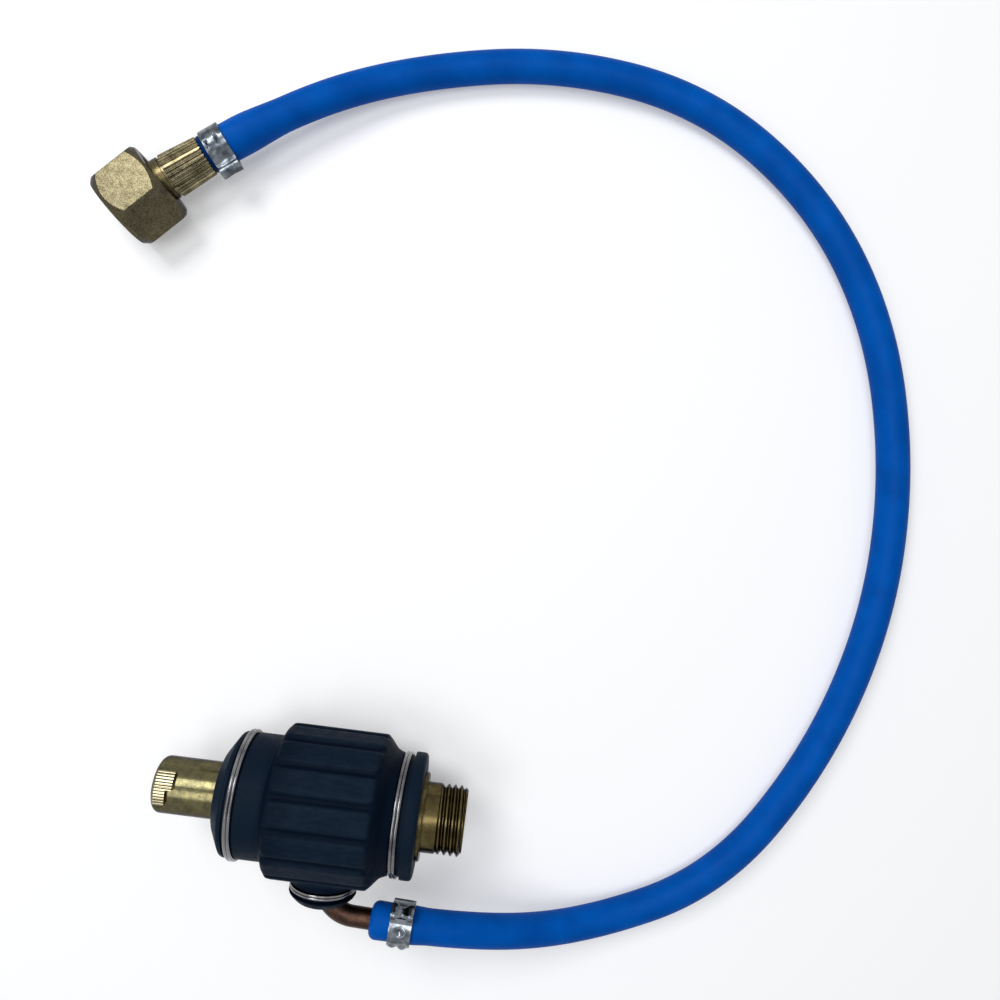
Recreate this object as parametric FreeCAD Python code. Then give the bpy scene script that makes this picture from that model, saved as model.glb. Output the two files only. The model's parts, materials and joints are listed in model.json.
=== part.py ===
# Power and gas connector of a TIG torch lead, with its gas hose and swivel nut.
# Millimetres. The origin is the middle of the brass flange face that the torch lead's nut draws up to.
# +X runs out along the threaded stud, -X along the contact pin, -Y along the gas branch, and +Z is up.
# The connector lies on the barrel of its rubber boot, the hose on the table, and the nut on one flat.
import FreeCAD, Part
import math
import os

from FreeCAD import Placement, Rotation, Vector

# Clearances
PRESS_GAP = 0.05          # round a piece that is pressed, brazed or stretched over another
FACE_GAP = 0.05           # behind a shoulder that seats against another piece

# Contact pin, with the bayonet lug at its tip
PIN_DIAMETER = 13.0
PIN_REACH = 15.4          # from the boot's pin face to the tip
PIN_BURIED = 3.0          # from the boot's pin face to the core body
PIN_CHAMFER = 1.0
SPIGOT_DIAMETER = 10.0
SPIGOT_LENGTH = 11.0
LUG_RISE = 1.1
LUG_SETBACK = 0.4         # from the tip to the lug's front
LUG_LENGTH = 4.3          # along the pin, before the cam cuts it shorter
LUG_CAM_LENGTH = 1.8      # along the pin, at the cam's low end
LUG_START = 52.0          # angles about +X, counted from +Y towards +Z
LUG_CAM_START = 80.0
LUG_END = 115.0
LUG_RIDGES = 9
LUG_GROOVE_DEPTH = 0.28

# Core body, with the flange and the threaded stud
CORE_DIAMETER = 18.0
FLANGE_DIAMETER = 20.0
FLANGE_THICKNESS = 4.0
FLANGE_PROUD = 1.0        # of the flange, past the boot's torch end
FLANGE_CHAMFER = 0.3
STUD_DIAMETER = 15.8
STUD_LENGTH = 9.5
STUD_PLAIN = 3.5          # smooth length between the flange and the thread
STUD_CHAMFER = 0.9
STUD_TURNS = 3
GAS_BORE_DIAMETER = 8.0
GAS_BORE_PAST_BRANCH = 3.0
GAS_PORT_DIAMETER = 3.6

# Threads: a groove for each turn
THREAD_PITCH = 1.5
THREAD_CREST = 0.19       # flat at a crest, along the axis
THREAD_ROOT = 0.37        # flat at a root, along the axis
THREAD_DEPTH = 0.81

# Rubber boot, from its pin face to its torch face
NOSE_DIAMETER = 19.2
NOSE_LENGTH = 2.8
NECK_DIAMETER = 28.4
NECK_LENGTH = 12.2        # from the pin face to the barrel's ramp
PIN_RAMP_LENGTH = 1.1
BARREL_DIAMETER = 35.0    # over the lands
BARREL_LENGTH = 23.7
TORCH_RAMP_LENGTH = 4.0
TORCH_RAMP_DIP = 0.7      # how far the hollow of that ramp lies under a straight one
TORCH_NECK_DIAMETER = 27.4
TORCH_LIP_DIAMETER = 28.6
TORCH_LIP_LENGTH = 3.3
LIP_CHAMFER = 0.5
LAND_COUNT = 15
LAND_WIDTH = 4.6
LAND_HEIGHT = 0.7
LAND_CORNER = 1.3
LAND_FIRST = 9.0          # angle of the first land's middle
LAND_MARGIN = 0.35        # from the barrel's end to a land's end

# Gas branch of the boot
BRANCH_FROM_BARREL_END = 11.2
BRANCH_DIAMETER = 15.5
BRANCH_PROUD = 4.5        # from the barrel's surface to the branch's mouth
BRANCH_LIP_DIAMETER = 15.8
BRANCH_LIP_LENGTH = 2.2
BRANCH_CONE_LENGTH = 1.8
BRANCH_MOUTH_WALL = 1.2
BRANCH_MOUTH_DIAMETER = 9.8

# Wire rings, two turns side by side in a groove
RING_WIRE = 0.9
RING_STEP = 0.84          # from one turn to the next
RING_SIDE_GAP = 0.2
PIN_RING_STATION = 5.0    # from the pin face to the ring's middle
PIN_RING_GROOVE = 27.8    # diameter of the groove's floor
TORCH_RING_GROOVE = 26.7
BRANCH_RING_GROOVE = 14.3

# Side boss, brazed into the core body
BOSS_DIAMETER = 11.6
BOSS_SPIGOT_DIAMETER = 10.0
BOSS_SPIGOT_LENGTH = 3.4
BOSS_SETBACK = 4.6        # from the branch's mouth to the boss's end
BOSS_FLOOR = 1.0          # under the end of the tube

# Copper elbow
TUBE_DIAMETER = 4.8
TUBE_BORE = 3.4
ELBOW_RADIUS = 8.0        # of the bend, which starts at the boss's end
ELBOW_TURN = 88.0
TUBE_SHOWING = 4.3        # from the bend's end to the hose
TUBE_SWAGE_DIAMETER = 5.8
TAIL_LENGTH = 11.0        # of the tube, or of the nipple, inside the hose
TAIL_LIP = 1.5            # of it, that the hose's end grips at its own bore

# Gas hose
HOSE_DIAMETER = 8.0
HOSE_BORE = 5.0
ELBOW_CUFF_DIAMETER = 8.5     # where the elbow's tail swells the hose
ELBOW_CUFF_ROUND = 1.3
NIPPLE_CUFF_DIAMETER = 9.3    # where the nipple's tail swells it
NIPPLE_CUFF_ROUND = 0.2
CUFF_LENGTH = 9.6
CUFF_TAPER = 2.2
END_RUN = 22.0            # of the route, from the hose's end to its first turn
RUN_SHARE = 0.45          # of the shorter run, that an arc takes up

# The hose's route, as (x, y, height of the hose's middle over the table)
ROUTE = [
    (41.5, -28.0, 4.0),
    (74.0, -12.0, 4.0),
    (95.0, 21.0, 4.0),
    (106.0, 57.5, 4.0),
    (106.5, 95.0, 4.0),
    (97.5, 131.5, 4.0),
    (78.0, 161.0, 4.0),
    (47.0, 182.0, 4.0),
    (9.5, 187.0, 4.0),
    (-28.5, 179.5, 4.0),
]

# Ear clamps
CLAMP_WIDTH = 5.3
CLAMP_THICKNESS = 0.55
ELBOW_CLAMP_SETBACK = 4.7     # from the hose's end to the band
NIPPLE_CLAMP_SETBACK = 1.0
EAR_WIDTH = 4.4
EAR_HEIGHT = 2.3
ELBOW_EAR_ANGLE = -50.0   # of the ear from +Z about the hose, seen from its end
NIPPLE_EAR_ANGLE = 80.0

# Hose nipple, with stations counted from the knurled sleeve's front towards the hose
FITTING_X = -82.1         # middle of the sleeve's front
FITTING_Y = 144.2
FITTING_ANGLE = 37.5      # of the nipple's axis, from +X towards +Y
HEAD_DIAMETER = 13.6
HEAD_LENGTH = 2.3
CONE_LENGTH = 1.4
CONE_TIP_DIAMETER = 6.0
NIPPLE_NECK_DIAMETER = 10.4
NIPPLE_NECK_LENGTH = 5.4  # from the head to the sleeve
NIPPLE_CORE_DIAMETER = 8.0
NIPPLE_BORE = 3.4
BARB_COUNT = 3
BARB_DIAMETER = 6.6
BARB_VALLEY_DIAMETER = 5.6

# Knurled sleeve, pressed on the nipple behind its neck
SLEEVE_LENGTH = 10.6
SLEEVE_WIDE_DIAMETER = 10.8
SLEEVE_NARROW_DIAMETER = 9.7
KNURL_COUNT = 30
KNURL_DEPTH_SHARE = 0.05  # of the radius

# Swivel nut, which hangs loose and a little askew on the nipple
NUT_ACROSS_FLATS = 19.0
NUT_LENGTH = 13.5
NUT_END_DIAMETER = 17.2
NUT_THREAD_BORE = 14.4
NUT_THREAD_TURNS = 3
NUT_MOUTH_CHAMFER = 0.9
NUT_RELIEF_DIAMETER = 16.2
NUT_BACK_WALL = 2.5
NUT_BACK_BORE = 12.2
NUT_AHEAD = 8.5           # from the sleeve's front to the nut's middle
NUT_ASIDE = 0.4           # of the nut's middle from the nipple's axis
NUT_ASKEW = 8.0           # angle between the two axes

# Places that follow from the sizes above
ORIGIN = Vector(0, 0, 0)
ALONG_X = Vector(1, 0, 0)
BRANCH_WAY = Vector(0, -1, 0)
TABLE_Z = -BARREL_DIAMETER / 2
RING_WIDTH = RING_STEP + RING_WIRE
GROOVE_WIDTH = RING_WIDTH + 2 * RING_SIDE_GAP
TORCH_FACE = -FLANGE_PROUD
TORCH_GROOVE_END = TORCH_FACE - TORCH_LIP_LENGTH
TORCH_GROOVE_START = TORCH_GROOVE_END - GROOVE_WIDTH
BARREL_END = TORCH_GROOVE_START - TORCH_RAMP_LENGTH
BARREL_START = BARREL_END - BARREL_LENGTH
NECK_END = BARREL_START - PIN_RAMP_LENGTH
PIN_FACE = NECK_END - NECK_LENGTH
PIN_TIP = PIN_FACE - PIN_REACH
CORE_START = PIN_FACE + PIN_BURIED
BRANCH_X = BARREL_END - BRANCH_FROM_BARREL_END
BRANCH_REACH = BARREL_DIAMETER / 2 + BRANCH_PROUD
BRANCH_GROOVE_END = BRANCH_REACH - BRANCH_LIP_LENGTH
BRANCH_GROOVE_START = BRANCH_GROOVE_END - GROOVE_WIDTH
BOSS_REACH = BRANCH_REACH - BOSS_SETBACK
BOSS_SEAT = CORE_DIAMETER / 2 - BOSS_SPIGOT_LENGTH
TUBE_START = BOSS_SEAT + FACE_GAP + BOSS_FLOOR

BEND_END_ANGLE = math.radians(180 + ELBOW_TURN)
BEND_END = Vector(
    BRANCH_X + ELBOW_RADIUS + ELBOW_RADIUS * math.cos(BEND_END_ANGLE),
    -BOSS_REACH + ELBOW_RADIUS * math.sin(BEND_END_ANGLE),
    0,
)
ELBOW_WAY = Vector(-math.sin(BEND_END_ANGLE), math.cos(BEND_END_ANGLE), 0)
HOSE_START = BEND_END + ELBOW_WAY * TUBE_SHOWING


def heading(angle):
    """Return the level direction at an angle from +X towards +Y."""
    return Vector(math.cos(math.radians(angle)), math.sin(math.radians(angle)), 0)


FITTING_WAY = heading(FITTING_ANGLE)
FITTING_ACROSS = heading(FITTING_ANGLE - 90)
SLEEVE_FRONT = Vector(FITTING_X, FITTING_Y, TABLE_Z + NUT_ACROSS_FLATS / 2)
HOSE_END = SLEEVE_FRONT + FITTING_WAY * (SLEEVE_LENGTH + FACE_GAP)
NUT_MIDDLE = SLEEVE_FRONT - FITTING_WAY * NUT_AHEAD + FITTING_ACROSS * NUT_ASIDE
NUT_WAY = heading(FITTING_ANGLE + NUT_ASKEW)


def turned(outline, bore=0.0):
    """Return a solid of revolution about X through (station, diameter) pairs, round a bore."""
    points = [Vector(station, diameter / 2, 0) for station, diameter in outline]
    closing = [Vector(points[-1].x, bore / 2, 0), Vector(points[0].x, bore / 2, 0), points[0]]
    face = Part.Face(Part.makePolygon(points + closing))
    return face.revolve(ORIGIN, ALONG_X, 360)


def rod(diameter, start, end):
    """Return a round bar along X from one station to another."""
    return turned([(start, diameter), (end, diameter)])


def aimed(shape, point, way, roll=0.0):
    """Return a copy of a shape made along +X, rolled about X, then moved to a point and aimed along a way."""
    placed = shape.copy()
    turn = Rotation(ALONG_X, way).multiply(Rotation(ALONG_X, roll))
    placed.Placement = Placement(point, turn).multiply(shape.Placement)
    return placed


def thread(start, turns, crest, depth):
    """Return the (station, diameter) pairs of a thread's turns, cut below its crest diameter by depth."""
    flank = (THREAD_PITCH - THREAD_CREST - THREAD_ROOT) / 2
    outline = []
    for turn in range(turns):
        station = start + turn * THREAD_PITCH
        outline += [
            (station, crest),
            (station + flank, crest - 2 * depth),
            (station + flank + THREAD_ROOT, crest - 2 * depth),
            (station + 2 * flank + THREAD_ROOT, crest),
        ]
    return outline


def bent_path(points, radii):
    """Return a wire through points, straight but for an arc of the given radius at each inner point."""
    edges = []
    start = points[0]
    for before, corner, after, radius in zip(points, points[1:], points[2:], radii):
        way_in = (corner - before).normalize()
        way_out = (after - corner).normalize()
        half_turn = way_in.getAngle(way_out) / 2
        setback = radius * math.tan(half_turn)
        arc_start = corner - way_in * setback
        arc_end = corner + way_out * setback
        inward = (way_out - way_in).normalize()
        middle = corner + inward * (radius / math.cos(half_turn) - radius)
        edges.append(Part.LineSegment(start, arc_start).toShape())
        edges.append(Part.Arc(arc_start, middle, arc_end).toShape())
        start = arc_end
    edges.append(Part.LineSegment(start, points[-1]).toShape())
    return Part.Wire(edges)


def swept(path, diameter):
    """Return a round bar that follows a path from end to end."""
    first = path.Edges[0]
    start = first.valueAt(first.FirstParameter)
    circle = Part.makeCircle(diameter / 2, start, first.tangentAt(first.FirstParameter))
    return path.makePipeShell([Part.Wire(circle)], True, False)


def bayonet_lug():
    """Return the ridged lug on the pin's tip, whose back is cut to a cam."""
    inner = PIN_DIAMETER / 2 - LUG_RISE
    outer = PIN_DIAMETER / 2 + LUG_RISE
    front = PIN_TIP + LUG_SETBACK
    back = front + LUG_LENGTH
    corners = [(front, inner), (back, inner), (back, outer), (front, outer), (front, inner)]
    section = Part.Face(Part.makePolygon([Vector(x, y, 0) for x, y in corners]))
    lug = section.revolve(ORIGIN, ALONG_X, LUG_END - LUG_START)
    lug.rotate(ORIGIN, ALONG_X, LUG_START)

    def on_lug(station, angle, radius):
        return Vector(station, radius * math.cos(math.radians(angle)), radius * math.sin(math.radians(angle)))

    high = on_lug(back, LUG_CAM_START, PIN_DIAMETER / 2)
    low = on_lug(front + LUG_CAM_LENGTH, LUG_END, PIN_DIAMETER / 2)
    outward = on_lug(0, (LUG_CAM_START + LUG_END) / 2, 1)
    side = PIN_DIAMETER
    cam = Part.makeBox(side, side, side, Vector(0, 0, -side / 2))
    cam.Placement = Placement(high, Rotation(low - high, Vector(), outward, "ZXY"))
    lug = lug.cut(cam)

    grooves = []
    half = LUG_GROOVE_DEPTH / math.sqrt(2)
    for ridge in range(1, LUG_RIDGES):
        angle = LUG_START + ridge * (LUG_END - LUG_START) / LUG_RIDGES
        groove = Part.makeBox(LUG_LENGTH + 2, 2 * half, 2 * half, Vector(front - 1, -half, -half))
        groove.rotate(ORIGIN, ALONG_X, 45 + angle)
        groove.translate(on_lug(0, angle, outer))
        grooves.append(groove)
    return lug.cut(grooves)


def contact_pin():
    """Return the brass pin that plugs into the welding machine."""
    shank = turned([
        (PIN_TIP, PIN_DIAMETER - 2 * PIN_CHAMFER),
        (PIN_TIP + PIN_CHAMFER, PIN_DIAMETER),
        (CORE_START - FACE_GAP, PIN_DIAMETER),
        (CORE_START - FACE_GAP, SPIGOT_DIAMETER),
        (CORE_START + SPIGOT_LENGTH, SPIGOT_DIAMETER),
    ])
    return shank.fuse(bayonet_lug())


def core_body():
    """Return the brass body that carries the current to the stud and the gas from the branch."""
    body = turned(
        [
            (CORE_START, CORE_DIAMETER),
            (-FLANGE_THICKNESS, CORE_DIAMETER),
            (-FLANGE_THICKNESS, FLANGE_DIAMETER),
            (-FLANGE_CHAMFER, FLANGE_DIAMETER),
            (0, FLANGE_DIAMETER - 2 * FLANGE_CHAMFER),
            (0, STUD_DIAMETER),
        ]
        + thread(STUD_PLAIN, STUD_TURNS, STUD_DIAMETER, THREAD_DEPTH)
        + [
            (STUD_LENGTH - STUD_CHAMFER, STUD_DIAMETER),
            (STUD_LENGTH, STUD_DIAMETER - 2 * STUD_CHAMFER),
        ]
    )
    socket = rod(SPIGOT_DIAMETER + 2 * PRESS_GAP, CORE_START, CORE_START + SPIGOT_LENGTH + FACE_GAP)
    gas_bore = rod(GAS_BORE_DIAMETER, BRANCH_X - GAS_BORE_PAST_BRANCH - GAS_PORT_DIAMETER / 2, STUD_LENGTH)
    boss_seat = rod(BOSS_SPIGOT_DIAMETER + 2 * PRESS_GAP, BOSS_SEAT, CORE_DIAMETER)
    gas_port = rod(GAS_PORT_DIAMETER, 0, BOSS_SEAT)
    across = [aimed(cut, Vector(BRANCH_X, 0, 0), BRANCH_WAY) for cut in (boss_seat, gas_port)]
    return body.cut([socket, gas_bore] + across)


def side_boss():
    """Return the brass boss that seats the elbow and backs the branch's wire ring."""
    collar_start = CORE_DIAMETER / 2 + FACE_GAP
    boss = turned([
        (BOSS_SEAT + FACE_GAP, BOSS_SPIGOT_DIAMETER),
        (collar_start, BOSS_SPIGOT_DIAMETER),
        (collar_start, BOSS_DIAMETER),
        (BOSS_REACH, BOSS_DIAMETER),
    ])
    tube_seat = rod(TUBE_DIAMETER + 2 * PRESS_GAP, TUBE_START, BOSS_REACH)
    gas_way = rod(TUBE_BORE, BOSS_SEAT, TUBE_START)
    return aimed(boss.cut([tube_seat, gas_way]), Vector(BRANCH_X, 0, 0), BRANCH_WAY)


def gas_elbow():
    """Return the copper tube that turns from the branch into the hose."""
    bend_corner_from_end = ELBOW_RADIUS * math.tan(math.radians(ELBOW_TURN) / 2)
    corner = BEND_END - ELBOW_WAY * bend_corner_from_end
    start = Vector(BRANCH_X, -TUBE_START - FACE_GAP, 0)
    end = HOSE_START + ELBOW_WAY * TAIL_LENGTH
    path = bent_path([start, corner, end], [ELBOW_RADIUS])
    swage = aimed(rod(TUBE_SWAGE_DIAMETER, TAIL_LIP, TAIL_LENGTH), HOSE_START, ELBOW_WAY)
    return swept(path, TUBE_DIAMETER).fuse(swage).cut(swept(path, TUBE_BORE))


def boot_land():
    """Return one raised land of the boot's barrel, on top of it, with rounded corners."""
    length = BARREL_LENGTH - 2 * LAND_MARGIN
    start = Vector(BARREL_START + LAND_MARGIN, -LAND_WIDTH / 2, BARREL_DIAMETER / 2 - 2 * LAND_HEIGHT)
    pad = Part.makeBox(length, LAND_WIDTH, 3 * LAND_HEIGHT, start)
    corners = [edge for edge in pad.Edges if abs(edge.tangentAt(edge.FirstParameter).z) > 0.9]
    pad = pad.makeFillet(LAND_CORNER, corners)
    return pad.common(rod(BARREL_DIAMETER, BARREL_START, BARREL_END))


def rubber_boot():
    """Return the insulating boot: nose, neck, fluted barrel, torch lip and gas branch in one moulding."""
    floor = BARREL_DIAMETER - 2 * LAND_HEIGHT
    pin_groove = PIN_FACE + PIN_RING_STATION - GROOVE_WIDTH / 2
    ramp_middle = (floor + TORCH_NECK_DIAMETER) / 2 - 2 * TORCH_RAMP_DIP
    body = turned([
        (PIN_FACE, NOSE_DIAMETER),
        (PIN_FACE + NOSE_LENGTH, NECK_DIAMETER),
        (pin_groove, NECK_DIAMETER),
        (pin_groove, PIN_RING_GROOVE),
        (pin_groove + GROOVE_WIDTH, PIN_RING_GROOVE),
        (pin_groove + GROOVE_WIDTH, NECK_DIAMETER),
        (NECK_END, NECK_DIAMETER),
        (BARREL_START, floor),
        (BARREL_END, floor),
        (BARREL_END + TORCH_RAMP_LENGTH / 2, ramp_middle),
        (TORCH_GROOVE_START, TORCH_NECK_DIAMETER),
        (TORCH_GROOVE_START, TORCH_RING_GROOVE),
        (TORCH_GROOVE_END, TORCH_RING_GROOVE),
        (TORCH_GROOVE_END, TORCH_LIP_DIAMETER),
        (TORCH_FACE - LIP_CHAMFER, TORCH_LIP_DIAMETER),
        (TORCH_FACE, TORCH_LIP_DIAMETER - 2 * LIP_CHAMFER),
    ])
    branch = turned([
        (0, BRANCH_DIAMETER),
        (BRANCH_GROOVE_START, BRANCH_DIAMETER),
        (BRANCH_GROOVE_START, BRANCH_RING_GROOVE),
        (BRANCH_GROOVE_END, BRANCH_RING_GROOVE),
        (BRANCH_GROOVE_END, BRANCH_LIP_DIAMETER),
        (BRANCH_REACH - BRANCH_CONE_LENGTH, BRANCH_LIP_DIAMETER),
        (BRANCH_REACH, BRANCH_MOUTH_DIAMETER + 2 * BRANCH_MOUTH_WALL),
    ])
    branch_foot = Vector(BRANCH_X, 0, 0)
    land = boot_land()
    lands = [
        aimed(land, ORIGIN, ALONG_X, LAND_FIRST + step * 360 / LAND_COUNT - 90)
        for step in range(LAND_COUNT)
    ]
    moulding = body.fuse(lands + [aimed(branch, branch_foot, BRANCH_WAY)])

    pin_hole = rod(PIN_DIAMETER + 2 * PRESS_GAP, PIN_FACE, CORE_START)
    core_hole = rod(CORE_DIAMETER + 2 * PRESS_GAP, CORE_START - FACE_GAP, TORCH_FACE)
    flange_hole = rod(FLANGE_DIAMETER + 2 * PRESS_GAP, -FLANGE_THICKNESS - FACE_GAP, TORCH_FACE)
    boss_hole = rod(BOSS_DIAMETER + 2 * PRESS_GAP, 0, BOSS_REACH + FACE_GAP)
    mouth = rod(BRANCH_MOUTH_DIAMETER, 0, BRANCH_REACH)
    across = [aimed(hole, branch_foot, BRANCH_WAY) for hole in (boss_hole, mouth)]
    return moulding.cut([pin_hole, core_hole, flange_hole] + across)


def wire_ring(groove_diameter):
    """Return a wire ring of two turns side by side, about X with its middle at the origin."""
    centre = groove_diameter / 2 + PRESS_GAP + RING_WIRE / 2
    half_step = RING_STEP / 2
    waist = math.sqrt((RING_WIRE / 2) ** 2 - half_step ** 2)
    outer = Vector(0, centre + waist, 0)
    inner = Vector(0, centre - waist, 0)
    far = half_step + RING_WIRE / 2
    left = Part.Arc(outer, Vector(-far, centre, 0), inner).toShape()
    right = Part.Arc(inner, Vector(far, centre, 0), outer).toShape()
    section = Part.Face(Part.Wire([left, right]))
    return section.revolve(ORIGIN, ALONG_X, 360)


def hose_points():
    """Return the points of the hose's route, from the elbow's end to the nipple's."""
    lying = [Vector(x, y, TABLE_Z + height) for x, y, height in ROUTE]
    first_turn = HOSE_START + ELBOW_WAY * END_RUN
    last_turn = HOSE_END + FITTING_WAY * END_RUN
    return [HOSE_START, first_turn] + lying + [last_turn, HOSE_END]


def hose_radii(points):
    """Return the radius at each inner point of a route: as large as its two runs allow."""
    radii = []
    for before, corner, after in zip(points, points[1:], points[2:]):
        shorter = min(before.distanceToPoint(corner), corner.distanceToPoint(after))
        half_turn = (corner - before).getAngle(after - corner) / 2
        radii.append(RUN_SHARE * shorter / math.tan(half_turn))
    return radii


def hose_cuff(diameter, rounding):
    """Return the swollen end of the hose, along +X from its cut face."""
    return turned([
        (0, diameter - 2 * rounding),
        (rounding, diameter),
        (CUFF_LENGTH, diameter),
        (CUFF_LENGTH + CUFF_TAPER, HOSE_DIAMETER),
    ])


def tail_room(diameter):
    """Return the room that a tail of the given diameter takes inside the hose, along +X from its cut face."""
    return rod(diameter + 2 * PRESS_GAP, TAIL_LIP - FACE_GAP, TAIL_LENGTH + FACE_GAP)


def gas_hose():
    """Return the hose: one tube along its route, swollen over the tail at each end."""
    points = hose_points()
    radii = hose_radii(points)
    path = bent_path(points, radii)
    outside = swept(path, HOSE_DIAMETER)
    section = math.pi * HOSE_DIAMETER ** 2 / 4
    print("hose radii, mm:", [round(radius) for radius in radii])
    print("hose length, mm:", round(path.Length, 1))
    print("hose volume over section times length:", round(outside.Volume / (section * path.Length), 5))
    ends = [
        (HOSE_START, ELBOW_WAY, ELBOW_CUFF_DIAMETER, ELBOW_CUFF_ROUND, TUBE_SWAGE_DIAMETER),
        (HOSE_END, FITTING_WAY, NIPPLE_CUFF_DIAMETER, NIPPLE_CUFF_ROUND, BARB_DIAMETER),
    ]
    tips = [aimed(rod(diameter, 0, rounding), point, way) for point, way, diameter, rounding, _ in ends]
    cuffs = [aimed(hose_cuff(diameter, rounding), point, way) for point, way, diameter, rounding, _ in ends]
    rooms = [aimed(tail_room(tail), point, way) for point, way, _, _, tail in ends]
    return outside.cut(tips).fuse(cuffs).cut([swept(path, HOSE_BORE)] + rooms)


def ear_clamp(cuff_diameter):
    """Return an ear clamp about X, its band from station 0 round a cuff, with the ear on top."""
    inner = cuff_diameter + 2 * PRESS_GAP
    outer = inner + 2 * CLAMP_THICKNESS
    band = turned([(0, outer), (CLAMP_WIDTH, outer)])
    top = outer / 2 + EAR_HEIGHT
    ear = Part.makeBox(CLAMP_WIDTH, EAR_WIDTH, top, Vector(0, -EAR_WIDTH / 2, 0))
    top_edges = [
        edge for edge in ear.Edges
        if abs(edge.tangentAt(edge.FirstParameter).x) > 0.9 and edge.CenterOfMass.z > top / 2
    ]
    ear = ear.makeFillet(2 * CLAMP_THICKNESS, top_edges)
    tunnel_width = EAR_WIDTH - 2 * CLAMP_THICKNESS
    tunnel_height = EAR_HEIGHT - CLAMP_THICKNESS
    tunnel = Part.makeBox(CLAMP_WIDTH, tunnel_width, tunnel_height, Vector(0, -tunnel_width / 2, outer / 2))
    return band.fuse(ear).cut([tunnel, rod(inner, 0, CLAMP_WIDTH)])


def hose_nipple():
    """Return the brass nipple, along +X from the sleeve's front: coned head, neck, core and barbed tail."""
    head_back = -NIPPLE_NECK_LENGTH
    head_front = head_back - HEAD_LENGTH
    hose_face = SLEEVE_LENGTH + FACE_GAP
    outline = [
        (head_front - CONE_LENGTH, CONE_TIP_DIAMETER),
        (head_front, HEAD_DIAMETER),
        (head_back, HEAD_DIAMETER),
        (head_back, NIPPLE_NECK_DIAMETER),
        (-FACE_GAP, NIPPLE_NECK_DIAMETER),
        (-FACE_GAP, NIPPLE_CORE_DIAMETER),
        (SLEEVE_LENGTH, NIPPLE_CORE_DIAMETER),
        (SLEEVE_LENGTH, TUBE_DIAMETER),
        (hose_face + TAIL_LIP, TUBE_DIAMETER),
    ]
    barb_length = (TAIL_LENGTH - TAIL_LIP) / BARB_COUNT
    for barb in range(BARB_COUNT):
        station = hose_face + TAIL_LIP + barb * barb_length
        outline.append((station, BARB_DIAMETER))
        outline.append((station + barb_length, BARB_VALLEY_DIAMETER))
    return turned(outline, NIPPLE_BORE)


def star(station, diameter):
    """Return the closed outline of the knurl at a station, as alternate crests and valleys."""
    points = []
    for corner in range(2 * KNURL_COUNT):
        radius = diameter / 2 * (1 - KNURL_DEPTH_SHARE * (corner % 2))
        angle = math.pi * corner / KNURL_COUNT
        points.append(Vector(station, radius * math.cos(angle), radius * math.sin(angle)))
    return Part.makePolygon(points + points[:1])


def knurled_sleeve():
    """Return the tapered brass sleeve with its straight knurl, along +X from its front."""
    ends = [star(0, SLEEVE_WIDE_DIAMETER), star(SLEEVE_LENGTH, SLEEVE_NARROW_DIAMETER)]
    bore = rod(NIPPLE_CORE_DIAMETER + 2 * PRESS_GAP, 0, SLEEVE_LENGTH)
    return Part.makeLoft(ends, True, True).cut(bore)


def swivel_nut():
    """Return the brass nut, along +X with its middle at the origin, lying on one of its flats."""
    across_corners = NUT_ACROSS_FLATS * 2 / math.sqrt(3)
    corner = Vector(0, across_corners / 2, 0)
    corners = [Rotation(ALONG_X, angle).multVec(corner) for angle in range(0, 361, 60)]
    hexagon = Part.Face(Part.makePolygon(corners)).extrude(ALONG_X * NUT_LENGTH)
    chamfer = (across_corners - NUT_END_DIAMETER) / 2
    envelope = turned([
        (0, NUT_END_DIAMETER),
        (chamfer, across_corners),
        (NUT_LENGTH - chamfer, across_corners),
        (NUT_LENGTH, NUT_END_DIAMETER),
    ])
    thread_start = NUT_MOUTH_CHAMFER + THREAD_CREST
    thread_end = thread_start + NUT_THREAD_TURNS * THREAD_PITCH
    shoulder = NUT_LENGTH - NUT_BACK_WALL
    cavity = turned(
        [
            (0, NUT_THREAD_BORE + 2 * NUT_MOUTH_CHAMFER),
            (NUT_MOUTH_CHAMFER, NUT_THREAD_BORE),
        ]
        + thread(thread_start, NUT_THREAD_TURNS, NUT_THREAD_BORE, -THREAD_DEPTH)
        + [
            (thread_end, NUT_THREAD_BORE),
            (thread_end, NUT_RELIEF_DIAMETER),
            (shoulder, NUT_RELIEF_DIAMETER),
        ]
    )
    nut = hexagon.common(envelope).cut([cavity, rod(NUT_BACK_BORE, shoulder, NUT_LENGTH)])
    nut.translate(ALONG_X * (-NUT_LENGTH / 2))
    return nut


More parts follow.
